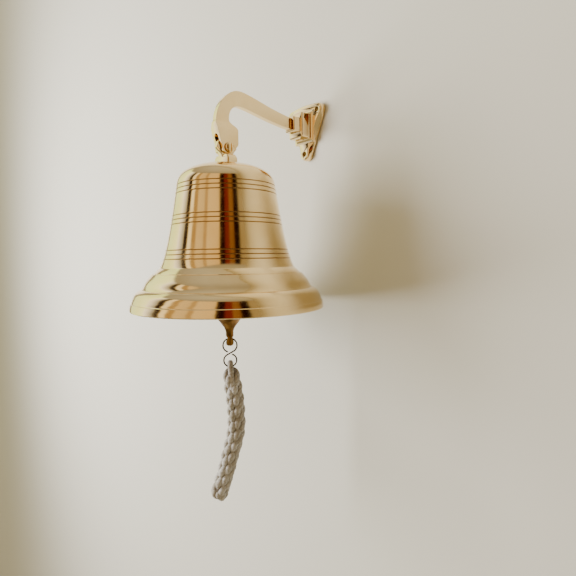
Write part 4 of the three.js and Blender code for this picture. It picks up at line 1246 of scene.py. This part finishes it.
class SHIPBELL_OT_eye_bolt(bpy.types.Operator):
    """Eye bolt under the crown with its washer and nut"""
    bl_idname = "ship_bell.eye_bolt"
    bl_label = "Eye bolt"

    def execute(self, context):
        under = -CROWN_WALL - FIT
        washer = turned("crown_washer_round", [
            (2.5, under - 1.2), (7.8, under - 1.2), (8.0, under - 1.0), (8.0, under - 0.2), (7.8, under),
            (2.5, under), (2.5, under - 1.2)], CROWN, Z, 64)
        settle(washer)
        fit_out(washer, "cast_brass", "bell", "crown_washer")
        top = -CROWN_WALL - 1.2 - 2 * FIT
        nut = hexagon("crown_nut_hex", 10.0, top - 4.4, top, 2.5, CROWN, Z)
        bevelled(nut, 0.15 * MM, 2, 40)
        fit_out(nut, "cast_brass", "bell", "crown_nut")
        eye = CROWN - Z * EYE_DROP * MM
        bolt = ring("forged_eye_bolt", eye, Y, EYE_R, EYE_WIRE_R)
        profile = [(0, -13.4), (2.2, -13.4)]
        z = -12.4
        while z < 3.0:
            profile += [(2.2, z), (1.9, z + 0.25)]
            z += 0.5
        profile += [(2.0, 3.1), (0, 3.2)]
        boolean(bolt, turned("shank", profile, CROWN, Z, 36), "UNION")
        fit_out(bolt, "cast_brass", "bell", "eye_bolt")
        return {"FINISHED"}


class SHIPBELL_OT_clapper(bpy.types.Operator):
    """Link and sand-cast clapper"""
    bl_idname = "ship_bell.clapper"
    bl_label = "Clapper"

    def execute(self, context):
        low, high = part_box("clapper_link")
        link = ring("clapper_round_link", (low + high) / 2, X, LINK_R, LINK_WIRE_R, 96, 22)
        settle(link, 60)
        fit_out(link, "cast_brass", "link", "clapper_link")
        low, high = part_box("clapper")
        eye_z = high.z / MM - AXIS.z / MM - 7.8
        body = ring("sand_cast_clapper", AXIS + Z * eye_z * MM, Y, EYE_R, EYE_WIRE_R, 72, 20)
        rod_top = eye_z - 6
        ball_r, ball_z = 16.5, 1.0
        start, stop = math.asin(5 / ball_r), 0.75 * math.pi
        profile = [(0, rod_top), (3.0, rod_top)]
        profile += [(3.0 + 2 * (i / 8) ** 2, rod_top + (ball_z + ball_r * math.cos(start) + 1.5 - rod_top) * i / 8)
                    for i in range(1, 9)]
        profile += [(ball_r * math.sin(a), ball_z + ball_r * math.cos(a))
                    for a in (lerp(start, stop, i / 30) for i in range(1, 31))]
        under_ball = (ball_r * math.sin(stop), ball_z + ball_r * math.cos(stop))
        profile += bezier(under_ball, (8.2, -14), (5.6, -18.4), (4.6, -20), 8)[1:]
        profile += [(3.9, -22), (3.6, -23.4), (3.6, -34.3), (3.3, -35.6), (2.5, -36.5), (1.4, -36.9),
                    (0, -36.9)]
        shank = turned("rod_and_ball", profile, AXIS, Z, 72)
        boolean(body, shank, "UNION")
        across = HOOK_SIDE * 9 * MM
        boolean(body, rod("hook_hole", TAIL_HOLE_R, TAIL_HOLE - across, TAIL_HOLE + across), "DIFFERENCE")
        modifier = body.modifiers.new("one skin", "REMESH")
        modifier.mode = "VOXEL"
        modifier.voxel_size = 0.55 * MM
        settle(body, 60)
        normals = [v.normal.copy() for v in body.data.vertices]
        for v, normal in zip(body.data.vertices, normals):
            local = v.co - AXIS
            grain = noise.fractal(local / (2.2 * MM), 0.8, 2.0, 3)
            lumps = noise.noise(local / (6 * MM))
            v.co += normal * (0.14 * grain + 0.22 * lumps) * MM
        fit_out(body, "cast_brass", "striker", "clapper")
        return {"FINISHED"}


HOOK_FACE_FLAT = HOOK_SIDE.cross(Z).normalized()


class SHIPBELL_OT_hook(bpy.types.Operator):
    """S-hook bent from one length of wire"""
    bl_idname = "ship_bell.hook"
    bl_label = "S-hook"

    def execute(self, context):
        upper = HOOK_FOOT_R / MM + HOOK_WAIST / MM + HOOK_TOP_R / MM
        line = arc((0, upper), HOOK_TOP_R / MM, 248, -58, 60) + arc((0, 0), HOOK_FOOT_R / MM, 122, 428, 60)
        points = sweep([on_hook(a * MM, b * MM) for a, b in line], 2)
        bm = bmesh.new()
        strand_mesh(bm, points, HOOK_WIRE_R, HOOK_FACE_FLAT, sides=14)
        hook = object_from("wire_s_hook", bm)
        settle(hook, 60)
        fit_out(hook, "dark_wire", "hook", "s_hook")
        return {"FINISHED"}


# ---------------------------------------------------------------- panel and registration
STEPS = (
    SHIPBELL_OT_stage, SHIPBELL_OT_lanyard, SHIPBELL_OT_shell, SHIPBELL_OT_wall_plate, SHIPBELL_OT_arm,
    SHIPBELL_OT_pivot, SHIPBELL_OT_lug, SHIPBELL_OT_eye_bolt, SHIPBELL_OT_clapper, SHIPBELL_OT_hook,
)


class SHIPBELL_PT_panel(bpy.types.Panel):
    """Sizes, colours and the pieces of the ship bell"""
    bl_idname = "SHIPBELL_PT_panel"
    bl_label = "Ship Bell"
    bl_space_type = "VIEW_3D"
    bl_region_type = "UI"
    bl_category = "Ship Bell"

    def draw(self, context):
        for group in (context.scene.ship_bell_sizes, context.scene.ship_bell_colours):
            box = self.layout.box()
            for name in group.bl_rna.properties.keys():
                if name not in {"rna_type", "name"}:
                    box.prop(group, name)
        for step in STEPS:
            self.layout.operator(step.bl_idname)


CLASSES = (ShipBellSizes, ShipBellColours) + STEPS + (SHIPBELL_PT_panel,)


def register():
    for cls in CLASSES:
        bpy.utils.register_class(cls)
    bpy.types.Scene.ship_bell_sizes = bpy.props.PointerProperty(type=ShipBellSizes)
    bpy.types.Scene.ship_bell_colours = bpy.props.PointerProperty(type=ShipBellColours)


def unregister():
    del bpy.types.Scene.ship_bell_colours
    del bpy.types.Scene.ship_bell_sizes
    for cls in reversed(CLASSES):
        bpy.utils.unregister_class(cls)


def main():
    register()
    for step in STEPS:
        group, name = step.bl_idname.split(".")
        if getattr(getattr(bpy.ops, group), name)() != {"FINISHED"}:
            raise RuntimeError(f"{step.bl_label} was not made")


if __name__ == "__main__":
    main()
